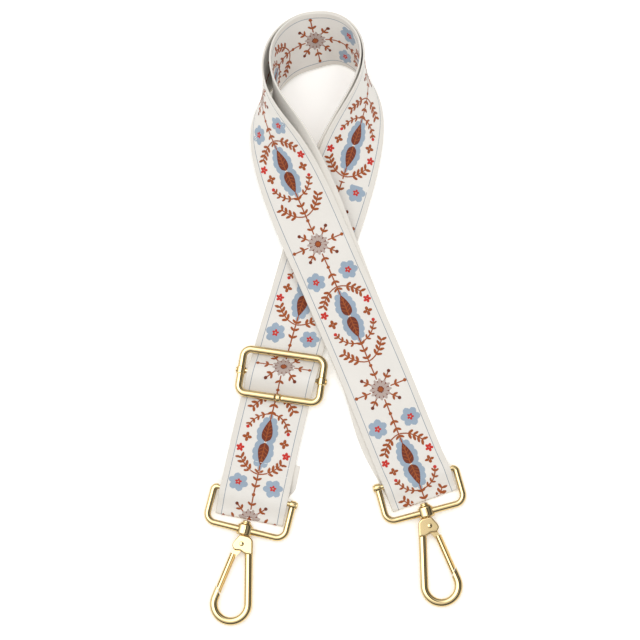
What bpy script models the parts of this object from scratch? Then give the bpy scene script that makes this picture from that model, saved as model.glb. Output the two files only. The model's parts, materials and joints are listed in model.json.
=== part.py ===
"""Detachable bag strap: a wide printed webbing strap with a slider and two swivel snap hooks.

The strap lies on a surface as it does when it is put down: its two ends point to -Y, its
patterned face looks up (+Z), one limb crosses over the other, and the loop stands on its edge.
Metres, +Z up, origin at the bottom centre of the whole strap.
"""

import math

import bmesh
import bpy
import numpy as np
from mathutils import Matrix, Vector

# Clearances
GAP = 0.0003
OVERRUN = 0.002

# Webbing
WEBBING_WIDTH = 0.050
WEBBING_THICKNESS = 0.0013
LAYER_GAP = 0.0003
STATION_STEP = 0.0045
LIMB_STEP = 0.009
FOLD_STEPS = 6

# Lie of the strap: lengths are measured along it from the middle of the loop
RIGHT_LIMB_END = 0.3970
LEFT_LIMB_END = 0.3915
TURN_LENGTH = 0.230
TURN_FALLOFF_SHARE = 0.758
TURN_LEAN_SHARES = (-0.80, -0.396)
LIMB_SPREAD = math.radians(21.2)
LOOP_HEADING = math.radians(3.05)
ROLL_LENGTH = 0.4420
ROLL_CENTRE = 0.0134
RIM_LEAN = math.radians(36.4)
ROLL_POWER_SHARES = (1.5, 2.80)
RIGHT_LIMB_BEND = math.radians(-2.2)
LEFT_LIMB_BEND = math.radians(7.0)
LIMB_BEND_LENGTH = 0.200
LEFT_BEND_START = 0.175
LINE_STEPS = 1600
LEAST_LEVEL_SHARE = 0.01

# The inner layer's place beside the outer one
LAYER_SPREAD = 0.0018
LAYER_SPREAD_REACH = 0.130
LOOP_PEEK = 0.0045
LOOP_PEEK_PLACE = 0.138
LOOP_PEEK_REACH = 0.142
FAR_PEEK = 0.0022
FAR_PEEK_REACH = 0.106
LIMB_PEEK = 0.0040
LIMB_PEEK_PLACE = 0.343
LIMB_PEEK_REACH = 0.050

# Crossing of the limbs
CROSSING_START = 0.105
CROSSING_END = 0.285
CROSSING_RISE_LENGTH = 0.055
CROSSING_FALL_LENGTH = 0.078
CROSSING_STEPS = (90, 300)
CROSSING_ROWS = (10, 60)
LEAST_CROSSING_SHARE = 0.05

# Fold round each cross bar
FOLD_BEYOND_BAR = 0.0170
FOLD_HUMP_LENGTH = 0.0280
FOLD_HUMP_SPARE = 0.0003
TAIL_LENGTH = 0.045
TAIL_FALL_START = 0.004
TAIL_FALL_LENGTH = 0.018
END_TURN_LENGTH = 0.030
RIGHT_FOLD_TURN = math.radians(-1.8)
LEFT_FOLD_TURN = math.radians(-0.8)
RIGHT_RING_TURN = math.radians(-6.4)
LEFT_RING_TURN = math.radians(-2.8)

# Slider
SLIDER_PLACE = 0.2850
SLIDER_TURN = math.radians(5.9)
SLIDER_WIDTH = 0.065
SLIDER_HEIGHT = 0.0385
SLIDER_WIRE = 0.0044
SLIDER_CORNER = 0.0085
SLIDER_BAR = 0.0034
SLIDER_TENON = 0.0024
SLIDER_HEAD = 0.0050
SLIDER_HEAD_THICKNESS = 0.0012
SLIDER_SEAM = 0.0052
SLIDER_SEAM_LENGTH = 0.0016
SEWN_END_LENGTH = 0.026
RUN_BEFORE = 0.034
LEVEL_LENGTH = 0.030
OVER_HUMP_LENGTH = 0.030
SEWN_HUMP_LENGTH = 0.024
TAIL_HUMP_LENGTH = 0.020

# Ring that holds each hook
RING_OPENING = 0.0540
RING_WIRE = 0.0044
RING_DEPTH = 0.0258
RING_CORNER = 0.0068
RING_AXIS_HEIGHT = 0.0043
EYE_RADIUS = 0.0031
CROSS_BAR = 0.0036
CROSS_BAR_HEAD = 0.0050
CROSS_BAR_HEAD_THICKNESS = 0.0010
COLLAR_WIDTH = 0.0110
COLLAR_THICKNESS = 0.0080
COLLAR_LENGTH = 0.0076
COLLAR_SLOT_WIDTH = 0.0008
COLLAR_SLOT_LENGTH = 0.0034
COLLAR_SLOT_DEPTH = 0.0007

# Swivel pin
SWIVEL_PIN = 0.0030
SWIVEL_HEAD = 0.0058
SWIVEL_HEAD_LENGTH = 0.0020
SWIVEL_WASHER = 0.0070
SWIVEL_WASHER_THICKNESS = 0.0008
SWIVEL_SEAT_DEPTH = 0.0026

# Hook, in its own plane: x across, y back towards the ring, from the middle of the collar
HOOK_WIRE_WIDTH = 0.0053
HOOK_THICKNESS = 0.0046
HOOK_EYE_RADIUS = 0.01225
HOOK_EYE_X = 0.0036
HOOK_EYE_Y = -0.0535
SPINE_LEAN = math.radians(13.6)
GATE_LEAN = math.radians(8.2)
SPINE_TOP_Y = -0.0092
NOSE_Y = -0.0465
HEAD_THICKNESS = 0.0064
HEAD_TOP_WIDTH = 0.0062
HEAD_WIDTH = 0.0120
HEAD_SHOULDER_Y = -0.0084
HEAD_BOTTOM_Y = -0.0163
HEAD_CORNER = 0.0012
RIVET_X = 0.0004
RIVET_Y = -0.0104
RIVET_RADIUS = 0.0011
RIVET_HEAD = 0.0017
RIVET_HEAD_THICKNESS = 0.0004
GATE_WIDTH = 0.0048
GATE_THICKNESS = 0.0042
GATE_LUG_THICKNESS = 0.0020
GATE_LUG_RADIUS = 0.0028
GATE_TOP_Y = -0.0184
GATE_GAP = 0.0004
NOSE_SLANT_SHARE = 1.0
SPRING_THICKNESS = 0.0005
SPRING_LENGTH = 0.0045
SPRING_WIDTH = 0.0016

# Fineness
WIRE_SIDES = 12
ARC_STEPS = 7
EYE_STEPS = 20
HEAD_DOME_SHARE = 0.72
SMOOTH_ANGLE = math.radians(40)

# Colours: red, green, blue, roughness, metallic
PRINTED_WEBBING = (0.82, 0.80, 0.76, 0.85, 0.0)
PALE_GOLD = (0.83, 0.66, 0.36, 0.22, 1.0)
SPRING_STEEL = (0.60, 0.58, 0.55, 0.35, 1.0)

LAYER_PITCH = WEBBING_THICKNESS + LAYER_GAP
HALF_WIDTH = WEBBING_WIDTH / 2
LOW = WEBBING_THICKNESS / 2
MIDDLE = LOW + LAYER_PITCH
HIGH = MIDDLE + LAYER_PITCH


def clear_scene():
    for thing in list(bpy.data.objects):
        bpy.data.objects.remove(thing, do_unlink=True)


def make_material(name, look):
    material = bpy.data.materials.new(name)
    material.use_nodes = True
    shader = material.node_tree.nodes["Principled BSDF"]
    shader.inputs["Base Color"].default_value = (look[0], look[1], look[2], 1)
    shader.inputs["Roughness"].default_value = look[3]
    shader.inputs["Metallic"].default_value = look[4]
    material.diffuse_color = (look[0], look[1], look[2], 1)
    return material


def add_empty(name, parent, place, turn=0.0):
    empty = bpy.data.objects.new(name, None)
    empty.empty_display_size = RING_DEPTH / 2
    bpy.context.collection.objects.link(empty)
    empty.parent = parent
    empty.location = place
    empty.rotation_euler = (0, 0, turn)
    return empty


def add_mesh(name, points, faces, material, parent, smooth=True):
    mesh = bpy.data.meshes.new(name)
    mesh.from_pydata([tuple(p) for p in points], [], faces)
    shape = bmesh.new()
    shape.from_mesh(mesh)
    bmesh.ops.recalc_face_normals(shape, faces=shape.faces)
    shape.to_mesh(mesh)
    shape.free()
    if smooth:
        mesh.shade_smooth()
        mesh.set_sharp_from_angle(angle=SMOOTH_ANGLE)
    mesh.materials.append(material)
    thing = bpy.data.objects.new(name, mesh)
    bpy.context.collection.objects.link(thing)
    thing.parent = parent
    return thing


def loft(rings, closed=False):
    """Points and faces of a tube through rings of equally many points."""
    count = len(rings[0])
    points = [p for ring in rings for p in ring]
    faces = []
    last = len(rings) if closed else len(rings) - 1
    for i in range(last):
        a = i * count
        b = (i + 1) % len(rings) * count
        for j in range(count):
            k = (j + 1) % count
            faces.append((a + j, a + k, b + k, b + j))
    if not closed:
        faces.append(tuple(reversed(range(count))))
        faces.append(tuple(range((len(rings) - 1) * count, len(rings) * count)))
    return points, faces


def circle(radius, sides=WIRE_SIDES, across=1.0):
    """A section of a wire: its first axis lies in the wire's plane."""
    step = 2 * math.pi / sides
    return [(radius * across * math.cos((i + 0.5) * step), radius * math.sin((i + 0.5) * step))
            for i in range(sides)]


def wire_rings(path, section, closed=False):
    """Rings of a wire bent in the XY plane along path."""
    rings = []
    total = len(path)
    for i, place in enumerate(path):
        before = path[(i - 1) % total] if closed or i > 0 else place
        after = path[(i + 1) % total] if closed or i < total - 1 else place
        ahead = (Vector(after) - Vector(before)).normalized()
        side = Vector((ahead.y, -ahead.x, 0))
        rings.append([Vector(place) + side * u + Vector((0, 0, v)) for u, v in section])
    return rings


def arc(centre, radius, start, end, steps):
    return [(centre[0] + radius * math.cos(start + (end - start) * i / steps),
             centre[1] + radius * math.sin(start + (end - start) * i / steps), 0)
            for i in range(steps + 1)]


def rod(radii, places, axis, sides=WIRE_SIDES, flat=1.0):
    """Points and faces of a turned piece: a radius at each place along axis 'X', 'Y' or 'Z'."""
    rings = []
    for radius, place in zip(radii, places):
        ring = []
        for u, v in circle(radius, sides):
            if axis == "X":
                ring.append(Vector((place, u, v * flat)))
            elif axis == "Y":
                ring.append(Vector((u, place, v * flat)))
            else:
                ring.append(Vector((u, v * flat, place)))
        rings.append(ring)
    return loft(rings)


def prism(outline, thickness):
    """A plate in the XY plane, thickness deep and centred on it."""
    half = thickness / 2
    return loft([[Vector((x, y, -half)) for x, y in outline], [Vector((x, y, half)) for x, y in outline]])


def moved(shape, offset):
    points, faces = shape
    return [Vector(p) + Vector(offset) for p in points], faces


def boolean(target, name, shape, operation, material, parent):
    """Joins a shape to a piece or cuts it away, and hides the shape."""
    tool = add_mesh(name, shape[0], shape[1], material, parent)
    tool.hide_render = True
    tool.display_type = "WIRE"
    modifier = target.modifiers.new(name, "BOOLEAN")
    modifier.operation = operation
    modifier.object = tool
    return tool


def smooth_step(value):
    t = np.clip(value, 0.0, 1.0)
    return t * t * t * (t * (6 * t - 15) + 10)


def bell(distance, length):
    """1 at distance 0, falling to 0 at half the length either side."""
    t = np.clip(np.abs(distance) / (length / 2), 0.0, 1.0)
    return np.cos(math.pi / 2 * t) ** 2


def lay_centreline():
    """The strap's upper layer, from the right hook (negative) to the left hook (positive)."""
    along = np.linspace(-RIGHT_LIMB_END, LEFT_LIMB_END, LINE_STEPS)
    turn = np.clip(np.abs(along) / (TURN_LENGTH / 2), 0, 1)
    lean, square = TURN_LEAN_SHARES
    signed = np.clip(along / (TURN_LENGTH / 2), -1, 1)
    weight = (1 - turn * turn) ** TURN_FALLOFF_SHARE * (1 + lean * signed + square * turn * turn)
    total = sum_along(weight, along)
    total -= np.interp(0.0, along, total)
    left = np.interp(TURN_LENGTH / 2, along, total)
    right = -np.interp(-TURN_LENGTH / 2, along, total)
    quarter = math.pi / 2 + LIMB_SPREAD
    heading = LOOP_HEADING - np.where(along > 0, total / left, total / right) * quarter
    beyond_right = np.clip(-along - TURN_LENGTH / 2, 0, None)
    beyond_left = np.clip(along - LEFT_BEND_START, 0, None)
    heading += (RIGHT_LIMB_BEND * beyond_right + LEFT_LIMB_BEND * beyond_left) / LIMB_BEND_LENGTH
    inner, outer = ROLL_POWER_SHARES
    part = np.clip(np.abs(along + ROLL_CENTRE) / (ROLL_LENGTH / 2), 0, 1)
    roll = (math.pi / 2 + RIM_LEAN) * (1 - part ** inner) ** outer
    height = HALF_WIDTH * np.sin(roll)
    climb = np.gradient(height, along)
    level = np.sqrt(np.clip(1 - climb ** 2, LEAST_LEVEL_SHARE, 1))
    ahead = np.stack([level * np.cos(heading), level * np.sin(heading), climb], axis=1)
    ahead /= np.linalg.norm(ahead, axis=1)[:, None]
    place = np.stack([sum_along(ahead[:, 0], along), sum_along(ahead[:, 1], along), height], axis=1)
    inward = np.cross(ahead, [0.0, 0.0, 1.0])
    inward /= np.linalg.norm(inward, axis=1)[:, None]
    up = np.cross(inward, ahead)
    across = inward * np.cos(roll)[:, None] + up * np.sin(roll)[:, None]
    normal = np.cross(across, ahead)
    tilt = np.cos(roll)
    place[:, 2] += MIDDLE * np.clip(tilt, 0, None) + LOW * np.clip(-tilt, 0, None)
    return {"along": along, "place": place, "ahead": ahead, "across": across, "normal": normal}


def sum_along(values, along):
    return np.concatenate([[0.0], np.cumsum((values[1:] + values[:-1]) / 2 * np.diff(along))])


def plateau(along, start, end, rise, fall):
    return smooth_step((along - start) / rise + 1) * smooth_step((end - along) / fall + 1)


def turn_across(along):
    """How far the strap's cross direction is turned in its own plane, where a piece of metal turns it."""
    near = plateau(along, SLIDER_PLACE - SLIDER_HEIGHT / 2, SLIDER_PLACE + SLIDER_HEIGHT / 2,
                   END_TURN_LENGTH, END_TURN_LENGTH)
    left = smooth_step((along - (LEFT_LIMB_END - FOLD_BEYOND_BAR)) / END_TURN_LENGTH + 1)
    right = smooth_step((-along - (RIGHT_LIMB_END - FOLD_BEYOND_BAR)) / END_TURN_LENGTH + 1)
    return float(SLIDER_TURN * near + LEFT_FOLD_TURN * left + RIGHT_FOLD_TURN * right)


def layer_spread(along):
    """How far the inner layer stands off the outer one, beyond the pitch of two flat layers."""
    return LAYER_SPREAD * float(bell(along, 2 * LAYER_SPREAD_REACH))


def layer_peek(along):
    """How far the inner layer shows beside the outer one: it has slipped sideways."""
    loop = LOOP_PEEK * bell(along + LOOP_PEEK_PLACE, 2 * LOOP_PEEK_REACH)
    far = FAR_PEEK * bell(along - LOOP_PEEK_PLACE, 2 * FAR_PEEK_REACH)
    limb = LIMB_PEEK * bell(along + LIMB_PEEK_PLACE, 2 * LIMB_PEEK_REACH)
    return float(loop + far - limb)


class Strap:
    """Answers where the strap is, at a length along it and a height above its lower layer."""

    def __init__(self):
        self.line = lay_centreline()
        self.raise_height = 0.0
        self.raise_height = self.needed_raise()

    def read(self, key, along):
        table = self.line[key]
        return np.array([np.interp(along, self.line["along"], table[:, k]) for k in range(3)])

    def crossing(self, along):
        """How much of the raise the upper limb has at this place."""
        rise, fall = CROSSING_RISE_LENGTH, CROSSING_FALL_LENGTH
        return float(plateau(-along, CROSSING_START, CROSSING_END, rise, fall))

    def frame(self, along):
        ahead = Vector(self.read("ahead", along)).normalized()
        across = Vector(self.read("across", along)).normalized()
        normal = across.cross(ahead).normalized()
        place = Vector(self.read("place", along))
        place.z += self.raise_height * self.crossing(along)
        turn = turn_across(along)
        turned = Matrix.Rotation(turn, 3, normal) @ across
        return place, ahead, turned / math.cos(turn), normal

    def station(self, along, height, slip=0.0):
        """Middle of the strap at a height over its lowest face, and its axes."""
        place, ahead, across, normal = self.frame(along)
        direction = ahead if along > 0 else -ahead
        return place + normal * (height - MIDDLE) + across * slip, direction, across, normal

    def surface(self, start, end, height, steps, rows):
        """Points of one face of a limb, with the place along the strap of each."""
        points, places = [], []
        for i in range(steps + 1):
            along = start + (end - start) * i / steps
            middle, _, across, _ = self.station(along, height(along))
            for j in range(rows + 1):
                points.append(middle + across * (WEBBING_WIDTH * (j / rows - 1 / 2)))
                places.append(along)
        return np.array(points), np.array(places)

    def needed_raise(self):
        """The height that clears the lower limb where the upper one crosses it."""
        far = CROSSING_END + CROSSING_FALL_LENGTH
        over_steps, under_steps = CROSSING_STEPS
        over_rows, under_rows = CROSSING_ROWS
        over, places = self.surface(-CROSSING_START, -far, lambda along: 0.0, over_steps, over_rows)
        under, _ = self.surface(CROSSING_START, far, lambda along: upper_level(along) + LOW,
                                under_steps, under_rows)
        most = 0.0
        near = WEBBING_WIDTH / under_rows
        for point, along in zip(over, places):
            beside = np.hypot(under[:, 0] - point[0], under[:, 1] - point[1]) < near
            if beside.any():
                lack = under[beside, 2].max() + 2 * LAYER_GAP - point[2]
                most = max(most, lack / max(self.crossing(along), LEAST_CROSSING_SHARE))
        return most


def strip_rings(stations):
    """Rings of a strip of webbing through stations of middle, across and normal."""
    rings = []
    for middle, across, normal in stations:
        side, thick = across * HALF_WIDTH, normal * LOW
        low, high = middle - thick, middle + thick
        rings.append([low - side, low + side, high + side, high - side])
    return rings


def spaced(start, end, step):
    count = max(1, round(abs(end - start) / step))
    return [start + (end - start) * i / count for i in range(count + 1)]


def bar_hump(distance, base):
    """Height of the upper layer where it passes over the cross bar, at a distance from it."""
    top = RING_AXIS_HEIGHT + CROSS_BAR / 2 + GAP + LOW + FOLD_HUMP_SPARE
    low = base if distance < 0 else MIDDLE
    return low + (top - low) * float(bell(distance, FOLD_HUMP_LENGTH))


def end_fold(strap, side, base):
    """Stations of the strap's end: over the cross bar, round the fold and back to the bar underneath.

    side is 1 at the left hook and -1 at the right hook; base is the upper layer's height before the bar.
    """
    end = LEFT_LIMB_END if side > 0 else RIGHT_LIMB_END
    bar = end - FOLD_BEYOND_BAR
    radius = LAYER_PITCH / 2
    stations = []
    for distance in spaced(-FOLD_HUMP_LENGTH / 2, FOLD_BEYOND_BAR - radius, LIMB_STEP / 3):
        here, ahead, across, normal = strap.station(side * (bar + distance), bar_hump(distance, base))
        rise = bar_hump(distance + GAP, base) - bar_hump(distance - GAP, base)
        slope = rise / (2 * GAP)
        lean = (normal - ahead * slope).normalized()
        stations.append((here, across, lean))
    here, ahead, across, normal = strap.station(side * (end - radius), LOW + radius)
    for i in range(1, FOLD_STEPS + 1):
        angle = math.pi / 2 - math.pi * i / FOLD_STEPS
        out = ahead * math.cos(angle) + normal * math.sin(angle)
        stations.append((here + out * radius, across, out))
    return stations


def layer_station(strap, along, height, slip=0.0, flip=1.0):
    middle, _, across, normal = strap.station(along, height, slip)
    return middle, across, normal * flip


def along_steps(start, end):
    """Places along the strap, closer together where it turns."""
    places = [start]
    step_sign = 1 if end > start else -1
    while (end - places[-1]) * step_sign > 0:
        here = places[-1]
        step = STATION_STEP if abs(here) < ROLL_LENGTH / 2 else LIMB_STEP
        places.append(here + step * step_sign)
    places[-1] = end
    if abs(places[-1] - places[-2]) < STATION_STEP / 3:
        places.pop(-2)
    return places


def make_loop_webbing(strap, material, parent):
    """The doubled webbing, from above the slider round the loop to the right hook and back."""
    upper_start = SLIDER_PLACE - RUN_BEFORE + GAP / 2
    lower_end = SLIDER_PLACE - SEWN_END_LENGTH - GAP
    fold_start = RIGHT_LIMB_END - FOLD_BEYOND_BAR - FOLD_HUMP_LENGTH / 2
    stations = []
    for along in along_steps(upper_start - GAP, -fold_start)[:-1]:
        stations.append(layer_station(strap, along, upper_level(along)))
    stations += end_fold(strap, -1, MIDDLE)
    back = spaced(-RIGHT_LIMB_END + LAYER_PITCH, -fold_start, LIMB_STEP)[:-1]
    for along in back + along_steps(-fold_start, lower_end):
        height = lower_level(along) - layer_spread(along)
        stations.append(layer_station(strap, along, height, layer_peek(along), -1.0))
    points, faces = loft(strip_rings(stations))
    return add_mesh("webbing_loop", points, faces, material, parent)


def upper_level(along):
    """Height of the upper layer: near the slider it climbs over the sewn tail and the bar."""
    start = SLIDER_PLACE - RUN_BEFORE
    base = MIDDLE + LAYER_PITCH * float(smooth_step((along - start) / LEVEL_LENGTH + 1))
    top = sewn_top() + LAYER_PITCH
    return base + (top - base) * float(bell(along - SLIDER_PLACE, OVER_HUMP_LENGTH))


def lower_level(along):
    start = SLIDER_PLACE - RUN_BEFORE
    return LOW + LAYER_PITCH * float(smooth_step((along - start) / LEVEL_LENGTH + 1))


def slider_axis_height():
    """Middle of the slider's wire: its top bar lies on three layers of webbing."""
    return HIGH + LOW + GAP + SLIDER_WIRE / 2


def sewn_top():
    return slider_axis_height() + SLIDER_BAR / 2 + GAP + LOW


def make_webbing_run(strap, material, parent):
    """The upper layer's stretch through the slider, over its centre bar, down to the sewn tail."""
    start = SLIDER_PLACE - RUN_BEFORE + GAP / 2
    end = tail_start() - GAP
    stations = []
    before, after = SLIDER_PLACE - OVER_HUMP_LENGTH / 2, SLIDER_PLACE + OVER_HUMP_LENGTH / 2
    places = spaced(start, before, LIMB_STEP)[:-1] + spaced(before, after, LIMB_STEP / 6)
    places += spaced(after, end, LIMB_STEP)[1:]
    for along in places:
        middle, ahead, across, normal = strap.station(along, upper_level(along))
        slope = (upper_level(along + GAP) - upper_level(along - GAP)) / (2 * GAP)
        stations.append((middle, across, (normal - ahead * slope).normalized()))
    points, faces = loft(strip_rings(stations))
    return add_mesh("webbing_run", points, faces, material, parent)


def make_sewn_end(strap, material, parent):
    """The lower layer's end: over the slider's centre bar, round it, and back as a tail underneath."""
    start = SLIDER_PLACE - SEWN_END_LENGTH
    axis = slider_axis_height()
    radius = sewn_top() - axis

    def over(along):
        return MIDDLE + (sewn_top() - MIDDLE) * float(bell(along - SLIDER_PLACE, SEWN_HUMP_LENGTH))

    def under(along):
        return LOW + (axis - radius - LOW) * float(bell(along - SLIDER_PLACE, TAIL_HUMP_LENGTH))

    stations = []
    step = LIMB_STEP / 5
    for along in spaced(start, SLIDER_PLACE, step)[:-1]:
        middle, ahead, across, normal = strap.station(along, over(along))
        slope = (over(along + GAP) - over(along - GAP)) / (2 * GAP)
        stations.append((middle, across, (normal - ahead * slope).normalized()))
    centre, ahead, across, normal = strap.station(SLIDER_PLACE, axis)
    for i in range(2 * FOLD_STEPS + 1):
        angle = math.pi / 2 - math.pi * i / (2 * FOLD_STEPS)
        out = ahead * math.cos(angle) + normal * math.sin(angle)
        stations.append((centre + out * radius, across, out))
    for along in spaced(SLIDER_PLACE, start, step)[1:]:
        middle, ahead, across, normal = strap.station(along, under(along))
        slope = (under(along + GAP) - under(along - GAP)) / (2 * GAP)
        stations.append((middle, across, -(normal - ahead * slope).normalized()))
    points, faces = loft(strip_rings(stations))
    return add_mesh("webbing_sewn_end", points, faces, material, parent)


def tail_start():
    return LEFT_LIMB_END - TAIL_LENGTH


def tail_level(along):
    """Height of the sewn tail under the tab: close under the upper layer, then down to clear the bar."""
    fallen = (along - tail_start() - TAIL_FALL_START) / TAIL_FALL_LENGTH
    return MIDDLE - LAYER_PITCH * float(smooth_step(fallen))


def make_hook_tab(strap, material, parent):
    """The strap's single end at the left hook: folded round the cross bar, with its sewn tail."""
    start = tail_start()
    fold_start = LEFT_LIMB_END - FOLD_BEYOND_BAR - FOLD_HUMP_LENGTH / 2
    places = spaced(start, fold_start, LIMB_STEP)[:-1]
    stations = [layer_station(strap, along, HIGH) for along in places]
    stations += end_fold(strap, 1, HIGH)
    for along in spaced(LEFT_LIMB_END - LAYER_PITCH, start, LIMB_STEP / 3):
        stations.append(layer_station(strap, along, tail_level(along), 0.0, -1.0))
    points, faces = loft(strip_rings(stations))
    return add_mesh("webbing_hook_tab", points, faces, material, parent)


def make_slider(parent, metal):
    """The wire frame and its centre bar, about the middle of the bar."""
    half_x = (SLIDER_WIDTH - SLIDER_WIRE) / 2
    half_y = (SLIDER_HEIGHT - SLIDER_WIRE) / 2
    bend = SLIDER_CORNER - SLIDER_WIRE / 2
    path = []
    for x, y, start in ((1, 1, 0.0), (-1, 1, 0.5), (-1, -1, 1.0), (1, -1, 1.5)):
        centre = (x * (half_x - bend), y * (half_y - bend))
        path += arc(centre, bend, start * math.pi, (start + 0.5) * math.pi, ARC_STEPS)
    points, faces = loft(wire_rings(path, circle(SLIDER_WIRE / 2), closed=True), closed=True)
    frame = add_mesh("slider_frame", points, faces, metal, parent)
    seam_half = SLIDER_SEAM_LENGTH / 2
    seam = rod((SLIDER_WIRE / 2, SLIDER_SEAM / 2, SLIDER_WIRE / 2),
               (-2 * seam_half, 0.0, 2 * seam_half), "X")
    boolean(frame, "seam_bead", moved(seam, (0, -half_y, 0)), "UNION", metal, parent)
    reach = half_x + SLIDER_WIRE / 2 + OVERRUN
    bore = rod((SLIDER_TENON / 2 + GAP,) * 2, (-reach, reach), "X")
    boolean(frame, "tenon_bore", bore, "DIFFERENCE", metal, parent)
    inside = half_x - SLIDER_WIRE / 2 - GAP
    outside = half_x + SLIDER_WIRE / 2 + GAP
    end = outside + SLIDER_HEAD_THICKNESS
    bar, tenon, head = SLIDER_BAR / 2, SLIDER_TENON / 2, SLIDER_HEAD / 2
    dome = head * HEAD_DOME_SHARE
    radii = (dome, head, head, tenon, tenon, bar, bar, tenon, tenon, head, head, dome)
    round_off = SLIDER_HEAD_THICKNESS / 2
    places = (-end, -end + round_off, -outside, -outside, -inside, -inside,
              inside, inside, outside, outside, end - round_off, end)
    points, faces = rod(radii, places, "X")
    add_mesh("slider_bar", points, faces, metal, parent)


def make_ring(label, parent, metal):
    """The U-shaped ring about its cross bar, with an eye at each end and the swivel collar."""
    half = (RING_OPENING + RING_WIRE) / 2
    bend_x, bend_y = half - RING_CORNER, -RING_DEPTH + RING_CORNER
    path = [(-half, 0, 0), (-half, -(RING_DEPTH - RING_CORNER) / 2, 0)]
    path += arc((-bend_x, bend_y), RING_CORNER, math.pi, 1.5 * math.pi, ARC_STEPS)
    path += arc((bend_x, bend_y), RING_CORNER, 1.5 * math.pi, 2 * math.pi, ARC_STEPS)
    path += [(half, -(RING_DEPTH - RING_CORNER) / 2, 0), (half, 0, 0)]
    points, faces = loft(wire_rings(path, circle(RING_WIRE / 2)))
    ring = add_mesh(f"{label}_ring", points, faces, metal, parent)
    inner = RING_OPENING / 2
    outer = inner + RING_WIRE
    collar_half = COLLAR_LENGTH / 2
    collar = rod((COLLAR_WIDTH / 2,) * 2, (-RING_DEPTH - collar_half, -RING_DEPTH + collar_half), "Y",
                 2 * WIRE_SIDES, COLLAR_THICKNESS / COLLAR_WIDTH)
    boolean(ring, f"{label}_collar", collar, "UNION", metal, parent)
    for side in (-1, 1):
        eye = rod((EYE_RADIUS,) * 2, tuple(sorted((side * inner, side * outer))), "X", 2 * WIRE_SIDES)
        boolean(ring, f"{label}_eye_{side}", eye, "UNION", metal, parent)
    bore = rod((CROSS_BAR / 2 + GAP,) * 2, (-outer - OVERRUN, outer + OVERRUN), "X", 2 * WIRE_SIDES)
    boolean(ring, f"{label}_bar_bore", bore, "DIFFERENCE", metal, parent)
    reach = collar_half + OVERRUN
    pin_bore = rod((SWIVEL_PIN / 2 + GAP,) * 2, (-RING_DEPTH - reach, -RING_DEPTH + reach), "Y")
    boolean(ring, f"{label}_pin_bore", pin_bore, "DIFFERENCE", metal, parent)
    slot_half = COLLAR_SLOT_WIDTH / 2
    slot_reach = COLLAR_SLOT_LENGTH / 2
    slot = prism([(-slot_half, -slot_reach), (slot_half, -slot_reach),
                  (slot_half, slot_reach), (-slot_half, slot_reach)], 2 * COLLAR_SLOT_DEPTH)
    boolean(ring, f"{label}_slot", moved(slot, (0, -RING_DEPTH, COLLAR_THICKNESS / 2)),
            "DIFFERENCE", metal, parent)
    head = outer + GAP
    end = head + CROSS_BAR_HEAD_THICKNESS
    bar, cap = CROSS_BAR / 2, CROSS_BAR_HEAD / 2
    dome = cap * HEAD_DOME_SHARE
    radii = (dome, cap, cap, bar, bar, cap, cap, dome)
    round_off = CROSS_BAR_HEAD_THICKNESS / 2
    places = (-end, -end + round_off, -head, -head, head, head, end - round_off, end)
    points, faces = rod(radii, places, "X")
    add_mesh(f"{label}_cross_bar", points, faces, metal, parent)


def hook_outline(side):
    """The middle line of the hook's bent body: down the spine, round the eye and up to the nose."""
    x, y, radius = HOOK_EYE_X, HOOK_EYE_Y, HOOK_EYE_RADIUS
    path = [(spine_line_x(SPINE_TOP_Y), SPINE_TOP_Y, 0)]
    path += arc((x, y), radius, SPINE_LEAN, -math.pi - GATE_LEAN, EYE_STEPS)
    path.append((gate_line_x(NOSE_Y), NOSE_Y, 0))
    return [(side * px, py, 0) for px, py, _ in path]


def gate_line_x(y):
    """Where the nose's and the gate's common middle line is, at a place along the hook."""
    start_x = HOOK_EYE_X - HOOK_EYE_RADIUS * math.cos(GATE_LEAN)
    start_y = HOOK_EYE_Y + HOOK_EYE_RADIUS * math.sin(GATE_LEAN)
    return start_x + (y - start_y) * math.tan(GATE_LEAN)


def slant_end(rings, path, section, side):
    """Cuts a wire's last ring at a slant, so that the gate can leave the nose inwards."""
    ahead = (Vector(path[-1]) - Vector(path[-2])).normalized()
    rings[-1] = [p - ahead * (NOSE_SLANT_SHARE * side * u) for p, (u, _) in zip(rings[-1], section)]
    return rings


def head_outline():
    """The head plate's edge, from the collar round the spine's root and back up the gate's side."""
    top, wide, corner = HEAD_TOP_WIDTH / 2, HEAD_WIDTH / 2, HEAD_CORNER
    low = HEAD_BOTTOM_Y
    shoulder_x = spine_line_x(SPINE_TOP_Y) + HOOK_WIRE_WIDTH / 2
    low_x = spine_line_x(low) + HOOK_WIRE_WIDTH / 2
    return [(-top, head_top()), (top, head_top()), (top + corner, head_top() - corner),
            (shoulder_x, SPINE_TOP_Y), (low_x, low), (corner, low), (-top, low + corner / 2),
            (-wide + 2 * corner, low + 2 * corner), (-wide + corner / 2, RIVET_Y),
            (-wide + corner, HEAD_SHOULDER_Y)]


def spine_line_x(y):
    """Where the spine's middle line is, at a place along the hook."""
    spine_end_x = HOOK_EYE_X + HOOK_EYE_RADIUS * math.cos(SPINE_LEAN)
    spine_end_y = HOOK_EYE_Y + HOOK_EYE_RADIUS * math.sin(SPINE_LEAN)
    return spine_end_x - (y - spine_end_y) * math.tan(SPINE_LEAN)


def head_top():
    return -COLLAR_LENGTH / 2 - GAP


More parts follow.
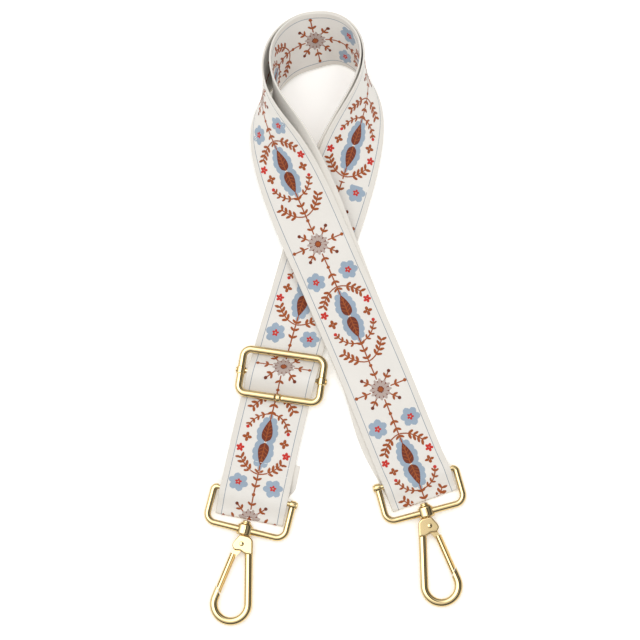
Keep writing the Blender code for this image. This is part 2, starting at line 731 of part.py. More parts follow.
def make_hook_body(label, side, parent, metal):
    section = circle(HOOK_THICKNESS / 2, WIRE_SIDES, HOOK_WIRE_WIDTH / HOOK_THICKNESS)
    path = hook_outline(side)
    points, faces = loft(slant_end(wire_rings(path, section), path, section, side))
    body = add_mesh(f"{label}_hook_body", points, faces, metal, parent)
    plate = prism([(side * x, y) for x, y in head_outline()], HEAD_THICKNESS)
    boolean(body, f"{label}_head_plate", plate, "UNION", metal, parent)
    clear = GATE_LUG_RADIUS + GAP
    right = RIVET_X + clear + SPRING_THICKNESS + GAP
    left = RIVET_X - HEAD_WIDTH
    low = HEAD_BOTTOM_Y - OVERRUN
    corners = ((right, RIVET_Y + clear), (left, RIVET_Y + clear), (left, low), (right, low))
    slot = prism([(side * x, y) for x, y in corners], GATE_LUG_THICKNESS + 2 * GAP)
    boolean(body, f"{label}_lug_slot", slot, "DIFFERENCE", metal, parent)
    bore = moved(rod((RIVET_RADIUS + GAP,) * 2, (-HEAD_THICKNESS, HEAD_THICKNESS), "Z"),
                 (side * RIVET_X, RIVET_Y, 0))
    boolean(body, f"{label}_rivet_bore", bore, "DIFFERENCE", metal, parent)
    seat = rod((SWIVEL_PIN / 2 + GAP,) * 2, (head_top() - SWIVEL_SEAT_DEPTH, head_top() + OVERRUN), "Y")
    boolean(body, f"{label}_pin_seat", seat, "DIFFERENCE", metal, parent)


def make_swivel(label, parent, metal):
    """The pin that holds the hook to the ring, with its head over a washer on the collar."""
    washer_low = COLLAR_LENGTH / 2 + GAP
    washer_high = washer_low + SWIVEL_WASHER_THICKNESS
    inner = SWIVEL_PIN / 2 + GAP
    points, faces = rod((SWIVEL_WASHER / 2,) * 2, (washer_low, washer_high), "Y", 2 * WIRE_SIDES)
    washer = add_mesh(f"{label}_swivel_washer", points, faces, metal, parent)
    hole = rod((inner, inner), (washer_low - OVERRUN, washer_high + OVERRUN), "Y")
    boolean(washer, f"{label}_washer_hole", hole, "DIFFERENCE", metal, parent)
    head_low = washer_high + GAP
    head_high = head_low + SWIVEL_HEAD_LENGTH
    foot = head_top() - SWIVEL_SEAT_DEPTH + GAP
    pin, head = SWIVEL_PIN / 2, SWIVEL_HEAD / 2
    crown = head_high - SWIVEL_HEAD_LENGTH / 3
    radii = (pin, pin, head, head, head * HEAD_DOME_SHARE)
    points, faces = rod(radii, (foot, head_low, head_low, crown, head_high), "Y")
    add_mesh(f"{label}_swivel_pin", points, faces, metal, parent)


def make_gate(label, side, parent, metal):
    """The spring gate about its rivet: a lug in the head's slot and a bar down to the nose."""
    end_y = NOSE_Y + 2 * GATE_GAP
    path = [(gate_line_x(GATE_TOP_Y), GATE_TOP_Y), (gate_line_x(end_y), end_y)]
    path = [(side * (x - RIVET_X), y - RIVET_Y, 0) for x, y in path]
    section = circle(GATE_THICKNESS / 2, WIRE_SIDES, GATE_WIDTH / GATE_THICKNESS)
    points, faces = loft(slant_end(wire_rings(path, section), path, section, side))
    gate = add_mesh(f"{label}_gate", points, faces, metal, parent)
    middle_x = gate_line_x(GATE_TOP_Y) - RIVET_X
    middle_y = GATE_TOP_Y - RIVET_Y
    half = GATE_WIDTH / 2 - HEAD_CORNER / 4
    outline = [(middle_x - half, middle_y - half), (middle_x + half, middle_y - half)]
    outline += [(x, y) for x, y, _ in arc((0, 0), GATE_LUG_RADIUS, -math.pi / 6, math.pi, 2 * ARC_STEPS)]
    lug = prism([(side * x, y) for x, y in outline], GATE_LUG_THICKNESS)
    boolean(gate, f"{label}_gate_lug", lug, "UNION", metal, parent)
    bore = rod((RIVET_RADIUS + GAP,) * 2, (-HEAD_THICKNESS, HEAD_THICKNESS), "Z")
    boolean(gate, f"{label}_gate_bore", bore, "DIFFERENCE", metal, parent)


def make_rivet_and_spring(label, side, parent, metal, spring_metal):
    half = HEAD_THICKNESS / 2
    low, high = half + GAP, half + GAP + RIVET_HEAD_THICKNESS
    shank, head = RIVET_RADIUS, RIVET_HEAD
    dome = head * HEAD_DOME_SHARE
    radii = (dome, head, shank, shank, head, dome)
    rivet = rod(radii, (-high, -low, -low, low, low, high), "Z")
    points, faces = moved(rivet, (side * RIVET_X, RIVET_Y, 0))
    add_mesh(f"{label}_gate_rivet", points, faces, metal, parent)
    x = RIVET_X + GATE_LUG_RADIUS + GAP
    y = RIVET_Y + GATE_LUG_RADIUS
    corners = ((x, y), (x + SPRING_THICKNESS, y), (x + SPRING_THICKNESS, y - SPRING_LENGTH),
               (x, y - SPRING_LENGTH))
    points, faces = prism([(side * px, py) for px, py in corners], SPRING_WIDTH)
    add_mesh(f"{label}_gate_spring", points, faces, spring_metal, parent, smooth=False)


def make_end(label, side, strap, root, ring_turn, metal, spring_metal):
    """One ring with its hook. side is 1 where the hook's spine is on its right, at the left end."""
    end = LEFT_LIMB_END if side > 0 else RIGHT_LIMB_END
    place, ahead, _, _ = strap.station(side * (end - FOLD_BEYOND_BAR), RING_AXIS_HEIGHT)
    back = math.atan2(-ahead.y, -ahead.x) - math.pi / 2
    ring = add_empty(f"{label}_ring_hinge", root, place, back + ring_turn)
    make_ring(label, ring, metal)
    swivel = add_empty(f"{label}_swivel", ring, (0, -RING_DEPTH, 0))
    make_swivel(label, swivel, metal)
    make_hook_body(label, side, swivel, metal)
    make_rivet_and_spring(label, side, swivel, metal, spring_metal)
    gate = add_empty(f"{label}_gate_hinge", swivel, (side * RIVET_X, RIVET_Y, 0))
    make_gate(label, side, gate, metal)


def seat_on_origin(root):
    """Moves the whole strap so that the origin is at the bottom centre of its box."""
    bpy.context.view_layer.update()
    graph = bpy.context.evaluated_depsgraph_get()
    corners = []
    for thing in bpy.data.objects:
        if thing.type != "MESH" or thing.hide_render:
            continue
        shape = thing.evaluated_get(graph).to_mesh()
        places = np.array([thing.matrix_world @ v.co for v in shape.vertices])
        corners += [places.min(axis=0), places.max(axis=0)]
        thing.evaluated_get(graph).to_mesh_clear()
    low, high = Vector(np.min(corners, axis=0)), Vector(np.max(corners, axis=0))
    root.location -= Vector(((low.x + high.x) / 2, (low.y + high.y) / 2, low.z))
    bpy.context.view_layer.update()


def main():
    clear_scene()
    webbing = make_material("printed_webbing", PRINTED_WEBBING)
    metal = make_material("pale_gold", PALE_GOLD)
    spring_metal = make_material("spring_steel", SPRING_STEEL)
    root = add_empty("strap", None, (0, 0, 0))
    strap = Strap()
    make_loop_webbing(strap, webbing, root)
    make_webbing_run(strap, webbing, root)
    make_hook_tab(strap, webbing, root)
    place, ahead, _, _ = strap.station(SLIDER_PLACE, slider_axis_height())
    back = math.atan2(-ahead.y, -ahead.x) - math.pi / 2
    slider = add_empty("slider", root, place, back + SLIDER_TURN)
    make_slider(slider, metal)
    make_sewn_end(strap, webbing, root)
    make_end("left", 1, strap, root, LEFT_RING_TURN, metal, spring_metal)
    make_end("right", -1, strap, root, RIGHT_RING_TURN, metal, spring_metal)
    seat_on_origin(root)


main()
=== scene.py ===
"""Looks of the detachable bag strap: printed webbing, polished pale gold slider, rings and snap hooks."""

import json
from math import atan2, ceil, copysign, cos, floor, pi, radians, sin, tan

import bmesh
import bpy
import numpy as np
from mathutils import Matrix, Vector


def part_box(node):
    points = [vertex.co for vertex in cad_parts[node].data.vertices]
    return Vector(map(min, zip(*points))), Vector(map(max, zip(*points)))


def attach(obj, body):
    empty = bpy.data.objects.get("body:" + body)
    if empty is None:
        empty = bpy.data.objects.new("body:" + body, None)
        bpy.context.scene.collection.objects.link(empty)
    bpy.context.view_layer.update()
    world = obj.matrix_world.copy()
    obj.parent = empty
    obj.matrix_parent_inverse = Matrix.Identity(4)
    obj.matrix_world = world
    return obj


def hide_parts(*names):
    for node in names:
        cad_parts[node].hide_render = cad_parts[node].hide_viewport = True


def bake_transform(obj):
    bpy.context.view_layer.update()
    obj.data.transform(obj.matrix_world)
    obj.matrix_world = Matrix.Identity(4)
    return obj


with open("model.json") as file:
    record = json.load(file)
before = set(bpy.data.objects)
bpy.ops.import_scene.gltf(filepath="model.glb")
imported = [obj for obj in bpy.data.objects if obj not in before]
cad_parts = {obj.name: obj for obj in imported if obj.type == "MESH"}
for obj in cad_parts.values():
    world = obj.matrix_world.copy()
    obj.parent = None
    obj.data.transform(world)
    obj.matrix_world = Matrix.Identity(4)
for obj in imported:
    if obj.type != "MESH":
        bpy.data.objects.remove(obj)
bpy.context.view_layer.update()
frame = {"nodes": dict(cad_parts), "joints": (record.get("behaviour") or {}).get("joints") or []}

# Camera: the photograph's view, from in front and 12.4 degrees off the vertical
VIEW_LEAN = radians(12.4)
VIEW_DISTANCE = 1.490
VIEW_TARGET = Vector((-0.0111, -0.0011, 0))
PHOTO_WIDTH = 640
FOCAL_PIXELS = 2020
SENSOR = 36.0

# Webbing, as in the solid model
WEBBING_WIDTH = 0.050
WEBBING_THICKNESS = 0.0013
GAP = 0.0003
LOW = WEBBING_THICKNESS / 2
LAYER_PITCH = WEBBING_THICKNESS + GAP
MIDDLE = LOW + LAYER_PITCH
HIGH = MIDDLE + LAYER_PITCH
HALF_WIDTH = WEBBING_WIDTH / 2

# Lie of the strap, as in the solid model: lengths along it from the middle of the loop
RIGHT_LIMB_END = 0.3970
LEFT_LIMB_END = 0.3915
TURN_LENGTH = 0.230
TURN_FALLOFF = 0.758
TURN_LEAN = (-0.80, -0.396)
LIMB_SPREAD = radians(21.2)
LOOP_HEADING = radians(3.05)
ROLL_LENGTH = 0.4420
ROLL_CENTRE = 0.0134
RIM_LEAN = radians(36.4)
ROLL_POWERS = (1.5, 2.80)
RIGHT_LIMB_BEND = radians(-2.2)
LEFT_LIMB_BEND = radians(7.0)
LIMB_BEND_LENGTH = 0.200
LEFT_BEND_START = 0.175
LINE_STEPS = 1600
CROSSING = (0.105, 0.285, 0.055, 0.078)
CROSSING_RAISE = 0.0051
FOLD_BEYOND_BAR = 0.0170
FOLD_HUMP_LENGTH = 0.0280
FOLD_HUMP_SPARE = 0.0003
TAIL_LENGTH = 0.045
TAIL_FALL_START = 0.004
TAIL_FALL_LENGTH = 0.018
TAIL_PEEK = 0.0036
TAIL_PEEK_START = 0.0180
TAIL_PEEK_LENGTH = 0.010
END_TURN_LENGTH = 0.030
RIGHT_FOLD_TURN = radians(-1.8)
LEFT_FOLD_TURN = radians(-0.8)
RING_AXIS_HEIGHT = 0.0043
SLIDER_PLACE = 0.2850
SLIDER_TURN = radians(5.9)
SLIDER_HEIGHT = 0.0385
SLIDER_WIRE = 0.0044
SLIDER_BAR = 0.0034
CROSS_BAR = 0.0036
SEWN_END_LENGTH = 0.026
RUN_BEFORE = 0.034
LEVEL_LENGTH = 0.030
OVER_HUMP_LENGTH = 0.030
SEWN_HUMP_LENGTH = 0.024
TAIL_HUMP_LENGTH = 0.020
SLIDER_AXIS = HIGH + LOW + GAP + SLIDER_WIRE / 2
SEWN_TOP = SLIDER_AXIS + SLIDER_BAR / 2 + GAP + LOW

# Where the inner layer stands off the outer one, and where it has slipped sideways so that it shows
# beside it: how much, the middle of the stretch, and its reach to either side
SPREADS = ((0.0066, -0.083, 0.072), (0.0014, 0.055, 0.045))
PEEKS = ((0.0045, -0.138, 0.142), (0.0022, 0.138, 0.106), (-0.0040, -0.343, 0.050))

# How the visible webbing is divided: what slides with the slider is its own piece
SPLIT_PLACE = 0.130
TAB_SINK = 0.00028
TAB_SINK_LENGTH = 0.010
STRETCH_END = 0.2575
HUMP_END = 0.3003
LOOP_STEP = 0.0016
LIMB_STEP = 0.003
HUMP_STEP = 0.0006
FOLD_STEPS = 14

# Section of the webbing
EDGE_ROUND = 0.0007
BORDER_RISE = 0.00009
BORDER_INNER = 0.0212
BORDER_OUTER = 0.0240
BORDER_STEP = 0.0029
EDGE_STEPS = 6
WEBBING_SHARP = radians(50)

# Sewing at the left hook
STITCH_LENGTH = 0.0027
STITCH_PITCH = 0.0034
STITCH_RADIUS = 0.00018
STITCH_SIDES = 8
STITCH_SHARES = (-1.0, -0.92, -0.6, 0.0, 0.6, 0.92, 1.0)
STITCH_END_SHARE = 0.35
STITCH_RISE, STITCH_DIP = 0.45, 1.4
STITCH_ROWS = (0.0035, 0.0105)
STITCH_EDGE = 0.0225

# Print: each shape is a thin closed strip, sunk in the cloth and a little higher than what it covers
PERIOD = 0.118
PRINT_PHASE = 0.046
PRINT_MARGIN = 0.0005
LINE_WIDTH = 0.00090
LINE_END_SHARE = 0.45
STROKE_STEP = 0.0008
SLICE_STEP = 0.0009
SLICE_SPARE = 0.004
FEWEST_SLICES = 5
PRINT_DEPTH = 0.00012
LEVEL_RISE = 0.000030
SHAPE_RISE = 0.000002
SHAPE_LEVELS = 11
GROUND_LEVEL, DISC_LEVEL, PETAL_LEVEL, LINE_LEVEL, DOT_LEVEL = 1, 2, 3, 4, 5
EDGE_LINE_PLACE = 0.0205
EDGE_LINE_WIDTH = 0.00042

# Colours of the print, in the order of the piece's material slots
INKS = (("rust_print", (0.345, 0.088, 0.026)), ("brown_print", (0.175, 0.040, 0.020)),
        ("blue_print", (0.32, 0.40, 0.49)), ("red_print", (0.56, 0.040, 0.030)),
        ("taupe_print", (0.46, 0.37, 0.33)), ("edge_line_print", (0.25, 0.29, 0.34)))
RUST_INK, BROWN_INK, BLUE_INK, RED_INK, TAUPE_INK, EDGE_INK = range(6)
CLOTH = (0.785, 0.755, 0.705)
CLOTH_BORDER = (0.765, 0.73, 0.67)
THREAD = (0.84, 0.825, 0.79)

# Motifs: sizes, then places from a round flower's heart, along the strap and across it
LEAFLET_SHARE = 0.46
LEAFLET_SPREAD = radians(50)
LEAFLET_LOOK = 0.02
BERRY = 0.0026
ROSETTE_ARMS = 8
ARM_START = 0.00756
ARM_REACH = (0.0190, 0.0150)
ARM_LEAFLET = 0.0040
ARM_LEAFLET_PLACE = (0.30,)
ROSETTE_DISC = 0.01344
ROSETTE_PETALS = 12
ROSETTE_RING = 0.005208
ROSETTE_PETAL = (0.0064, 0.0025)
ROSETTE_HEART = 0.0036
FLOWER_PETALS = 6
FLOWER_PETAL = (0.0066, 0.005676)
FLOWER_RING = 0.0041
FLOWER_HEART = 0.0050
FLOWER_PLACE = (0.0262, 0.0128)
FLOWER_TURN = 0.3
FLORET_RING, FLORET_WIDTH = 0.55, 0.72
FLORETS = ((-0.0072, 0.0170, 0.0030, RED_INK, 5), (0.0014, 0.0138, 0.0034, RUST_INK, 4))
LEAF_LENGTH, LEAF_WIDTH = 0.0170, 0.0078
LEAF_POWERS = (0.62, 0.85)
LEAF_STEPS = 12
LEAF_GAP = 0.0003
LOBES = 4
LOBE = (0.0078, 0.00624)
LOBE_SPAN = (0.02, 0.96)
LOBE_BEYOND = 0.0007
LOBE_TILT = 0.6
TIP_GROUND = (0.0056, 0.0032)
TIP_BEYOND = 0.0012
RIB_SHARE = 0.9
RIB_WIDTH = 0.00074
VEIN_WIDTH = 0.000518
VEINS = (0.2, 0.36, 0.52, 0.68)
VEIN_LEAN = 0.14
VEIN_WIDEST = 0.12
VEIN_REACH = 0.9
STEM = (0.020, 0.0420)
STEM_WIDTH = 0.00099
STEM_LEAFLETS = (0.20, 0.46, 0.72)
STEM_LEAFLET = 0.0042
TWIG_STEPS = 7
SPRIG_LEAVES = (np.linspace(0.36, 0.94, 4), 0.0046)
TWIG_LEAVES = (np.linspace(0.24, 0.84, 4), 0.0034)
SPRIG_AFTER = ((0.0350, 0.0004), (0.0362, 0.0090), (0.0455, 0.0152))
SPRIG_BEFORE = ((-0.0225, 0.0004), (-0.0235, 0.0085), (-0.0345, 0.0150))
TWIG_BEFORE = ((-0.0375, 0.0004), (-0.0390, 0.0115), (-0.0500, 0.0150))

# Metal pieces, to the solid model's sizes, with finer rounds
SLIDER_WIDTH = 0.065
SLIDER_BAND = 0.0054
SLIDER_CORNER = 0.0085
SLIDER_TENON = 0.0024
SLIDER_HEAD = 0.0042
SLIDER_HEAD_THICKNESS = 0.0009
SLIDER_HEAD_ROUND = 0.3
SLIDER_HEAD_FOOT = 0.94
SLIDER_BAR_SHOULDER = 0.9
SEAM_SWELL, SEAM_LENGTH, SEAM_GROOVE, SEAM_BEAD = 0.00040, 0.0042, 0.00045, 0.0013
SEAM_GROOVE_PLACE = 1.6 * SEAM_BEAD
BAND_SWELL, BAND_LENGTH, BAND_FALL = 0.00055, 0.0044, 0.0005
RING_OPENING = 0.0540
RING_WIRE = 0.0044
RING_BAND = 0.0048
RING_DEPTH = 0.0258
RING_CORNER = 0.0068
RING_END_BEND = 0.0026
EYE_RADIUS = 0.0031
EYE_ROUND = 0.0006
CROSS_BAR_HEAD = 0.0050
CROSS_BAR_HEAD_THICKNESS = 0.0010
COLLAR_WIDTH = 0.0110
COLLAR_THICKNESS = 0.0080
COLLAR_LENGTH = 0.0076
COLLAR_ROUND = 0.0011
COLLAR_SLOT = (0.0010, 0.0038, 0.0009)
SWIVEL_PIN = 0.0030
SWIVEL_HEAD = 0.0060
SWIVEL_HEAD_LENGTH = 0.0020
SWIVEL_HEAD_CROWN = (0.30, 0.70, 0.55)
SWIVEL_HEAD_FOOT = 0.94
SWIVEL_HEAD_STEPS = 6
SWIVEL_WASHER = 0.0082
SWIVEL_WASHER_THICKNESS = 0.0008
SWIVEL_SEAT_DEPTH = 0.0026
HOOK_WIRE_WIDTH = 0.0058
HOOK_THICKNESS = 0.0046
HOOK_EYE_RADIUS = 0.01225
HOOK_EYE_X = 0.0036
HOOK_EYE_Y = -0.0535
SPINE_LEAN = radians(13.6)
GATE_LEAN = radians(8.2)
SPINE_TOP_Y = -0.0092
NOSE_Y = -0.0465
HEAD_THICKNESS = 0.0064
HEAD_TOP_Y = -COLLAR_LENGTH / 2 - GAP
HEAD_TOP = (0.0024, 0.0048)
HEAD_CHEEK = (0.0062, -0.0130)
HEAD_BOTTOM_Y = -0.0163
HEAD_CORNER = 0.0012
HEAD_EDGE_ROUND = 0.0010
SLOT_LENGTH = 0.0120
RIVET_X = 0.0004
RIVET_Y = -0.0104
RIVET_RADIUS = 0.0011
RIVET_HEAD = 0.0017
RIVET_HEAD_THICKNESS = 0.0004
GATE_WIDTH = 0.0048
GATE_THICKNESS = 0.0042
GATE_LUG_THICKNESS = 0.0020
GATE_LUG_RADIUS = 0.0028
GATE_TOP_Y = -0.0184
GATE_GAP = 0.0004
GATE_GROOVE_WIDTH, GATE_GROOVE_DEPTH = 0.0020, 0.0009
SPRING_THICKNESS = 0.0005
SLANT_LENGTH = 0.0052
OVERRUN = 0.002
PIN_BORE = SWIVEL_PIN / 2 + GAP / 2
RIVET_BORE = RIVET_RADIUS + GAP / 3
SLIDER_STEP, GATE_STEP, HOOK_STEP, RING_STEP = 0.0005, 0.0015, 0.002, 0.003
# Crowns of riveted heads: two shares of the radius, and how far in the second one is
SLIDER_CROWN, BAR_CROWN, RIVET_CROWN = (0.45, 0.82, 0.35), (0.5, 0.85, 0.35), (0.4, 0.8, 5 / 12)
RIVET_CROWN_SHARE = 0.6
FINE_SIDES = 40
FINE_ARC = 20
FINE_EYE = 72
FLAT_AREA = 3e-6
METAL_SHARP = radians(38)
MIRROR = Matrix.Scale(-1, 4, (1, 0, 0))

# Looks
RIB_PITCH = 0.00062
YARN_PITCH = 0.00052
BORDER_FADE = 0.0008
FUZZ_SCALE, CLOUD_SCALE = 2600, 42
WEAVE_SHARE, FUZZ_SHARE = 0.5, 0.9
WEAVE_BUMP = (0.55, 0.00012)
CLOUD_TINT, FUZZ_TINT, WEAVE_TINT = 2, 1.6, 0.35
SCRATCH_SCALE, PATCH_SCALE = 3800, 130
SCRATCH_STRETCH = (1.0, 0.12, 1.0)
SCRATCH_BUMP = (0.05, 0.00004)
PATCH_ROUGHNESS = 0.10
DULL_SHARE, DULL_LIGHT = 0.7, 0.90
GOLD = (0.86, 0.665, 0.35)
GOLD_RIM = (0.62, 0.46, 0.24)
STEEL = (0.56, 0.55, 0.53)
FLOOR_SIZE = 6.0
FLOOR_GAP = 0.0002
FLOOR_TINTS = ((0.97, 0.97, 0.965), (0.985, 0.985, 0.98))
FLOOR_GLOW = (0.20, 0.195, 0.175, 1)
WORLD_STRENGTH = 0.76
LAMPS = (("key_lamp", (-0.55, 0.30, 1.75), (1.3, 1.0), 9.3),
         ("fill_lamp", (0.75, -0.35, 1.65), (1.1, 1.0), 5.2))

# What polished metal mirrors, from the dark side of the room (-0.1) to the middle of the soft box (1)
MIRRORED = ((-0.10, 0.50), (0.00, 0.30), (0.08, 0.06), (0.34, 0.06), (0.50, 0.30),
            (0.64, 0.60), (0.77, 0.80), (0.87, 1.5), (0.93, 2.6), (1.0, 3.0))
MIRROR_SHIFT = 0.02
SOFT_BOX_TOWARDS = Vector((-0.40, 0.24, 0.88)).normalized()
CAMERA_SHADE_TOWARDS = Vector((0.27, 0.20, 0.94)).normalized()
CAMERA_SHADE = (0.955, 0.990, 0.94)


def sum_along(values, along):
    return np.concatenate([[0.0], np.cumsum((values[1:] + values[:-1]) / 2 * np.diff(along))])


def run_lengths(places):
    """The length along a path at each of its places."""
    return np.concatenate([[0.0], np.cumsum(np.linalg.norm(np.diff(places, axis=0), axis=1))])


def read_at(at, lengths, rows):
    """Rows of numbers, read off at lengths between them."""
    return np.stack([np.interp(at, lengths, column) for column in rows.T], axis=-1)


def smooth_step(value):
    t = np.clip(value, 0.0, 1.0)
    return t * t * t * (t * (6 * t - 15) + 10)


def bell(distance, length):
    t = np.clip(np.abs(distance) / (length / 2), 0.0, 1.0)
    return np.cos(pi / 2 * t) ** 2


def plateau(along, start, end, rise, fall):
    return smooth_step((along - start) / rise + 1) * smooth_step((end - along) / fall + 1)


def swells(along, stretches):
    return sum(most * bell(along - middle, 2 * reach) for most, middle, reach in stretches)


def unit(vectors):
    return vectors / np.linalg.norm(vectors, axis=-1, keepdims=True)


def spaced(start, end, step):
    return np.linspace(start, end, max(2, round(abs(end - start) / step) + 1))


def lay_centreline():
    """The line that the strap follows, from the right hook (negative) to the left hook (positive)."""
    along = np.linspace(-RIGHT_LIMB_END, LEFT_LIMB_END, LINE_STEPS)
    turn = np.clip(np.abs(along) / (TURN_LENGTH / 2), 0, 1)
    lean, square = TURN_LEAN
    signed = np.clip(along / (TURN_LENGTH / 2), -1, 1)
    weight = (1 - turn * turn) ** TURN_FALLOFF * (1 + lean * signed + square * turn * turn)
    total = sum_along(weight, along)
    total -= np.interp(0.0, along, total)
    left = np.interp(TURN_LENGTH / 2, along, total)
    right = -np.interp(-TURN_LENGTH / 2, along, total)
    quarter = pi / 2 + LIMB_SPREAD
    heading = LOOP_HEADING - np.where(along > 0, total / left, total / right) * quarter
    beyond_right = np.clip(-along - TURN_LENGTH / 2, 0, None)
    beyond_left = np.clip(along - LEFT_BEND_START, 0, None)
    heading += (RIGHT_LIMB_BEND * beyond_right + LEFT_LIMB_BEND * beyond_left) / LIMB_BEND_LENGTH
    inner, outer = ROLL_POWERS
    part = np.clip(np.abs(along + ROLL_CENTRE) / (ROLL_LENGTH / 2), 0, 1)
    roll = (pi / 2 + RIM_LEAN) * (1 - part ** inner) ** outer
    height = HALF_WIDTH * np.sin(roll)
    climb = np.gradient(height, along)
    level = np.sqrt(np.clip(1 - climb ** 2, 0.01, 1))
    ahead = unit(np.stack([level * np.cos(heading), level * np.sin(heading), climb], axis=1))
    place = np.stack([sum_along(ahead[:, 0], along), sum_along(ahead[:, 1], along), height], axis=1)
    inward = unit(np.cross(ahead, [0.0, 0.0, 1.0]))
    up = np.cross(inward, ahead)
    across = inward * np.cos(roll)[:, None] + up * np.sin(roll)[:, None]
    tilt = np.cos(roll)
    place[:, 2] += MIDDLE * np.clip(tilt, 0, None) + LOW * np.clip(-tilt, 0, None)
    return along, place, ahead, across


LINE = lay_centreline()


def turn_across(along):
    """How far the strap's cross direction is turned in its own plane, where metal turns it."""
    half = SLIDER_HEIGHT / 2
    near = plateau(along, SLIDER_PLACE - half, SLIDER_PLACE + half, END_TURN_LENGTH, END_TURN_LENGTH)
    left = smooth_step((along - (LEFT_LIMB_END - FOLD_BEYOND_BAR)) / END_TURN_LENGTH + 1)
    right = smooth_step((-along - (RIGHT_LIMB_END - FOLD_BEYOND_BAR)) / END_TURN_LENGTH + 1)
    return SLIDER_TURN * near + LEFT_FOLD_TURN * left + RIGHT_FOLD_TURN * right


def lie(along, height, slip=0.0):
    """Middle of the webbing at a height over its lowest face, its direction, cross direction and normal."""
    along = np.atleast_1d(np.asarray(along, float))
    place, ahead, across = (read_at(along, LINE[0], rows) for rows in LINE[1:])
    ahead, across = unit(ahead), unit(across)
    normal = unit(np.cross(across, ahead))
    start, end, rise, fall = CROSSING
    place[:, 2] += CROSSING_RAISE * plateau(-along, start, end, rise, fall)
    turn = turn_across(along)[:, None]
    across = (across * np.cos(turn) + np.cross(normal, across) * np.sin(turn)) / np.cos(turn)
    height = np.broadcast_to(np.asarray(height, float), along.shape)[:, None]
    slip = np.broadcast_to(np.asarray(slip, float), along.shape)[:, None]
    return place + normal * (height - MIDDLE) + across * slip, ahead, across, normal


# Where the lie's own origin is in the frame, from the middle of the slider's bar
SLIDER_MIDDLE = sum(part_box("slider_bar"), Vector()) / 2
ORIGIN = np.array(SLIDER_MIDDLE) - lie(SLIDER_PLACE, SLIDER_AXIS)[0][0]


def rise_at(along):
    """How much the limb's layers rise before the slider, where the tab lies under them."""
    start = SLIDER_PLACE - RUN_BEFORE
    return LAYER_PITCH * smooth_step((along - start) / LEVEL_LENGTH + 1)


def upper_level(along):
    """Height of the upper layer, with its hump over the sewn end and the slider's bar."""
    base = MIDDLE + rise_at(along)
    top = SEWN_TOP + LAYER_PITCH
    return base + (top - base) * bell(along - SLIDER_PLACE, OVER_HUMP_LENGTH)


def inner_level(along):
    """Height of the inner layer, where it stands off the outer one too."""
    return LOW + rise_at(along) - swells(along, SPREADS)


def tail_level(along):
    fallen = (along - (LEFT_LIMB_END - TAIL_LENGTH) - TAIL_FALL_START) / TAIL_FALL_LENGTH
    return MIDDLE - LAYER_PITCH * smooth_step(fallen)


def bar_hump(distance, base):
    top = RING_AXIS_HEIGHT + CROSS_BAR / 2 + GAP + LOW + FOLD_HUMP_SPARE
    low = np.where(distance < 0, base, MIDDLE)
    return low + (top - low) * bell(distance, FOLD_HUMP_LENGTH)


def layer(along, height, slip=0.0, flip=1.0):
    """Stations of a layer: rows of middle, cross direction and outward normal, leaned where it climbs."""
    along = np.asarray(along, float)
    middle, ahead, across, normal = lie(along, height(along), slip)
    slope = ((height(along + GAP) - height(along - GAP)) / (2 * GAP))[:, None]
    return np.stack([middle + ORIGIN, across, unit(normal - ahead * slope) * flip], axis=1)


def half_turn(along, height, radius, first, steps, way=1):
    """Stations of a half turn about a line across the strap, from its top. way is 1 or -1 along it."""
    middle, ahead, across, normal = lie(along, height)
    angles = pi / 2 - pi * np.arange(first, steps + 1)[:, None] / steps
    out = way * ahead * np.cos(angles) + normal * np.sin(angles)
    across = np.repeat(across, len(out), axis=0)
    return np.stack([middle + ORIGIN + out * radius, across, out], axis=1)


def end_fold(side, base):
    """The strap's end: over the cross bar, round the fold. side is 1 at the left hook, -1 at the right."""
    end = LEFT_LIMB_END if side > 0 else RIGHT_LIMB_END
    bar = end - FOLD_BEYOND_BAR
    radius = LAYER_PITCH / 2
    distances = spaced(-FOLD_HUMP_LENGTH / 2, FOLD_BEYOND_BAR - radius, HUMP_STEP)
    over = layer(side * (bar + distances), lambda s: bar_hump(side * s - bar, base))
    turn = half_turn(side * (end - radius), LOW + radius, radius, 1, FOLD_STEPS, side)
    return np.concatenate([over, turn])


class Ribbon:
    """A stretch of webbing as rows of stations, with the length along the cut webbing of each."""

    def __init__(self, stations, start):
        self.stations = stations
        self.lengths = start + run_lengths(stations[:, 0])
        self.start, self.end = self.lengths[0], self.lengths[-1]

    def place(self, along, across, height):
        """Points of the webbing: along its length, across it, and at a height over its middle."""
        middle, sideways, up = (read_at(along, self.lengths, self.stations[:, i]) for i in range(3))
        return middle + sideways * np.asarray(across)[:, None] + up * np.asarray(height)[:, None]


def tab_ribbon(start):
    """The single layer at the left hook: its tail, the fold, and on to the slider's lower bar."""
    tail = spaced(LEFT_LIMB_END - TAIL_LENGTH, LEFT_LIMB_END - LAYER_PITCH, LOOP_STEP)
    beyond = LEFT_LIMB_END - LAYER_PITCH - TAIL_PEEK_START - tail
    slip = -TAIL_PEEK * smooth_step(beyond / TAIL_PEEK_LENGTH)
    under = layer(tail, tail_level, slip, -1.0)
    fold_start = LEFT_LIMB_END - FOLD_BEYOND_BAR - FOLD_HUMP_LENGTH / 2
    top = layer(spaced(HUMP_END, fold_start, LIMB_STEP)[:-1],
                lambda s: HIGH - TAB_SINK * smooth_step((fold_start - s) / TAB_SINK_LENGTH))
    over = np.concatenate([top, end_fold(1, HIGH)])
    return Ribbon(np.concatenate([under, over[::-1]]), start)


def upper_ribbon(start):
    """The upper layer from the slider's lower bar over its centre bar and up the lower limb."""
    hump = spaced(HUMP_END, SLIDER_PLACE - OVER_HUMP_LENGTH / 2, HUMP_STEP)[:-1]
    run = spaced(SLIDER_PLACE - OVER_HUMP_LENGTH / 2, SPLIT_PLACE, LIMB_STEP)
    return Ribbon(layer(np.concatenate([hump, run]), upper_level), start)


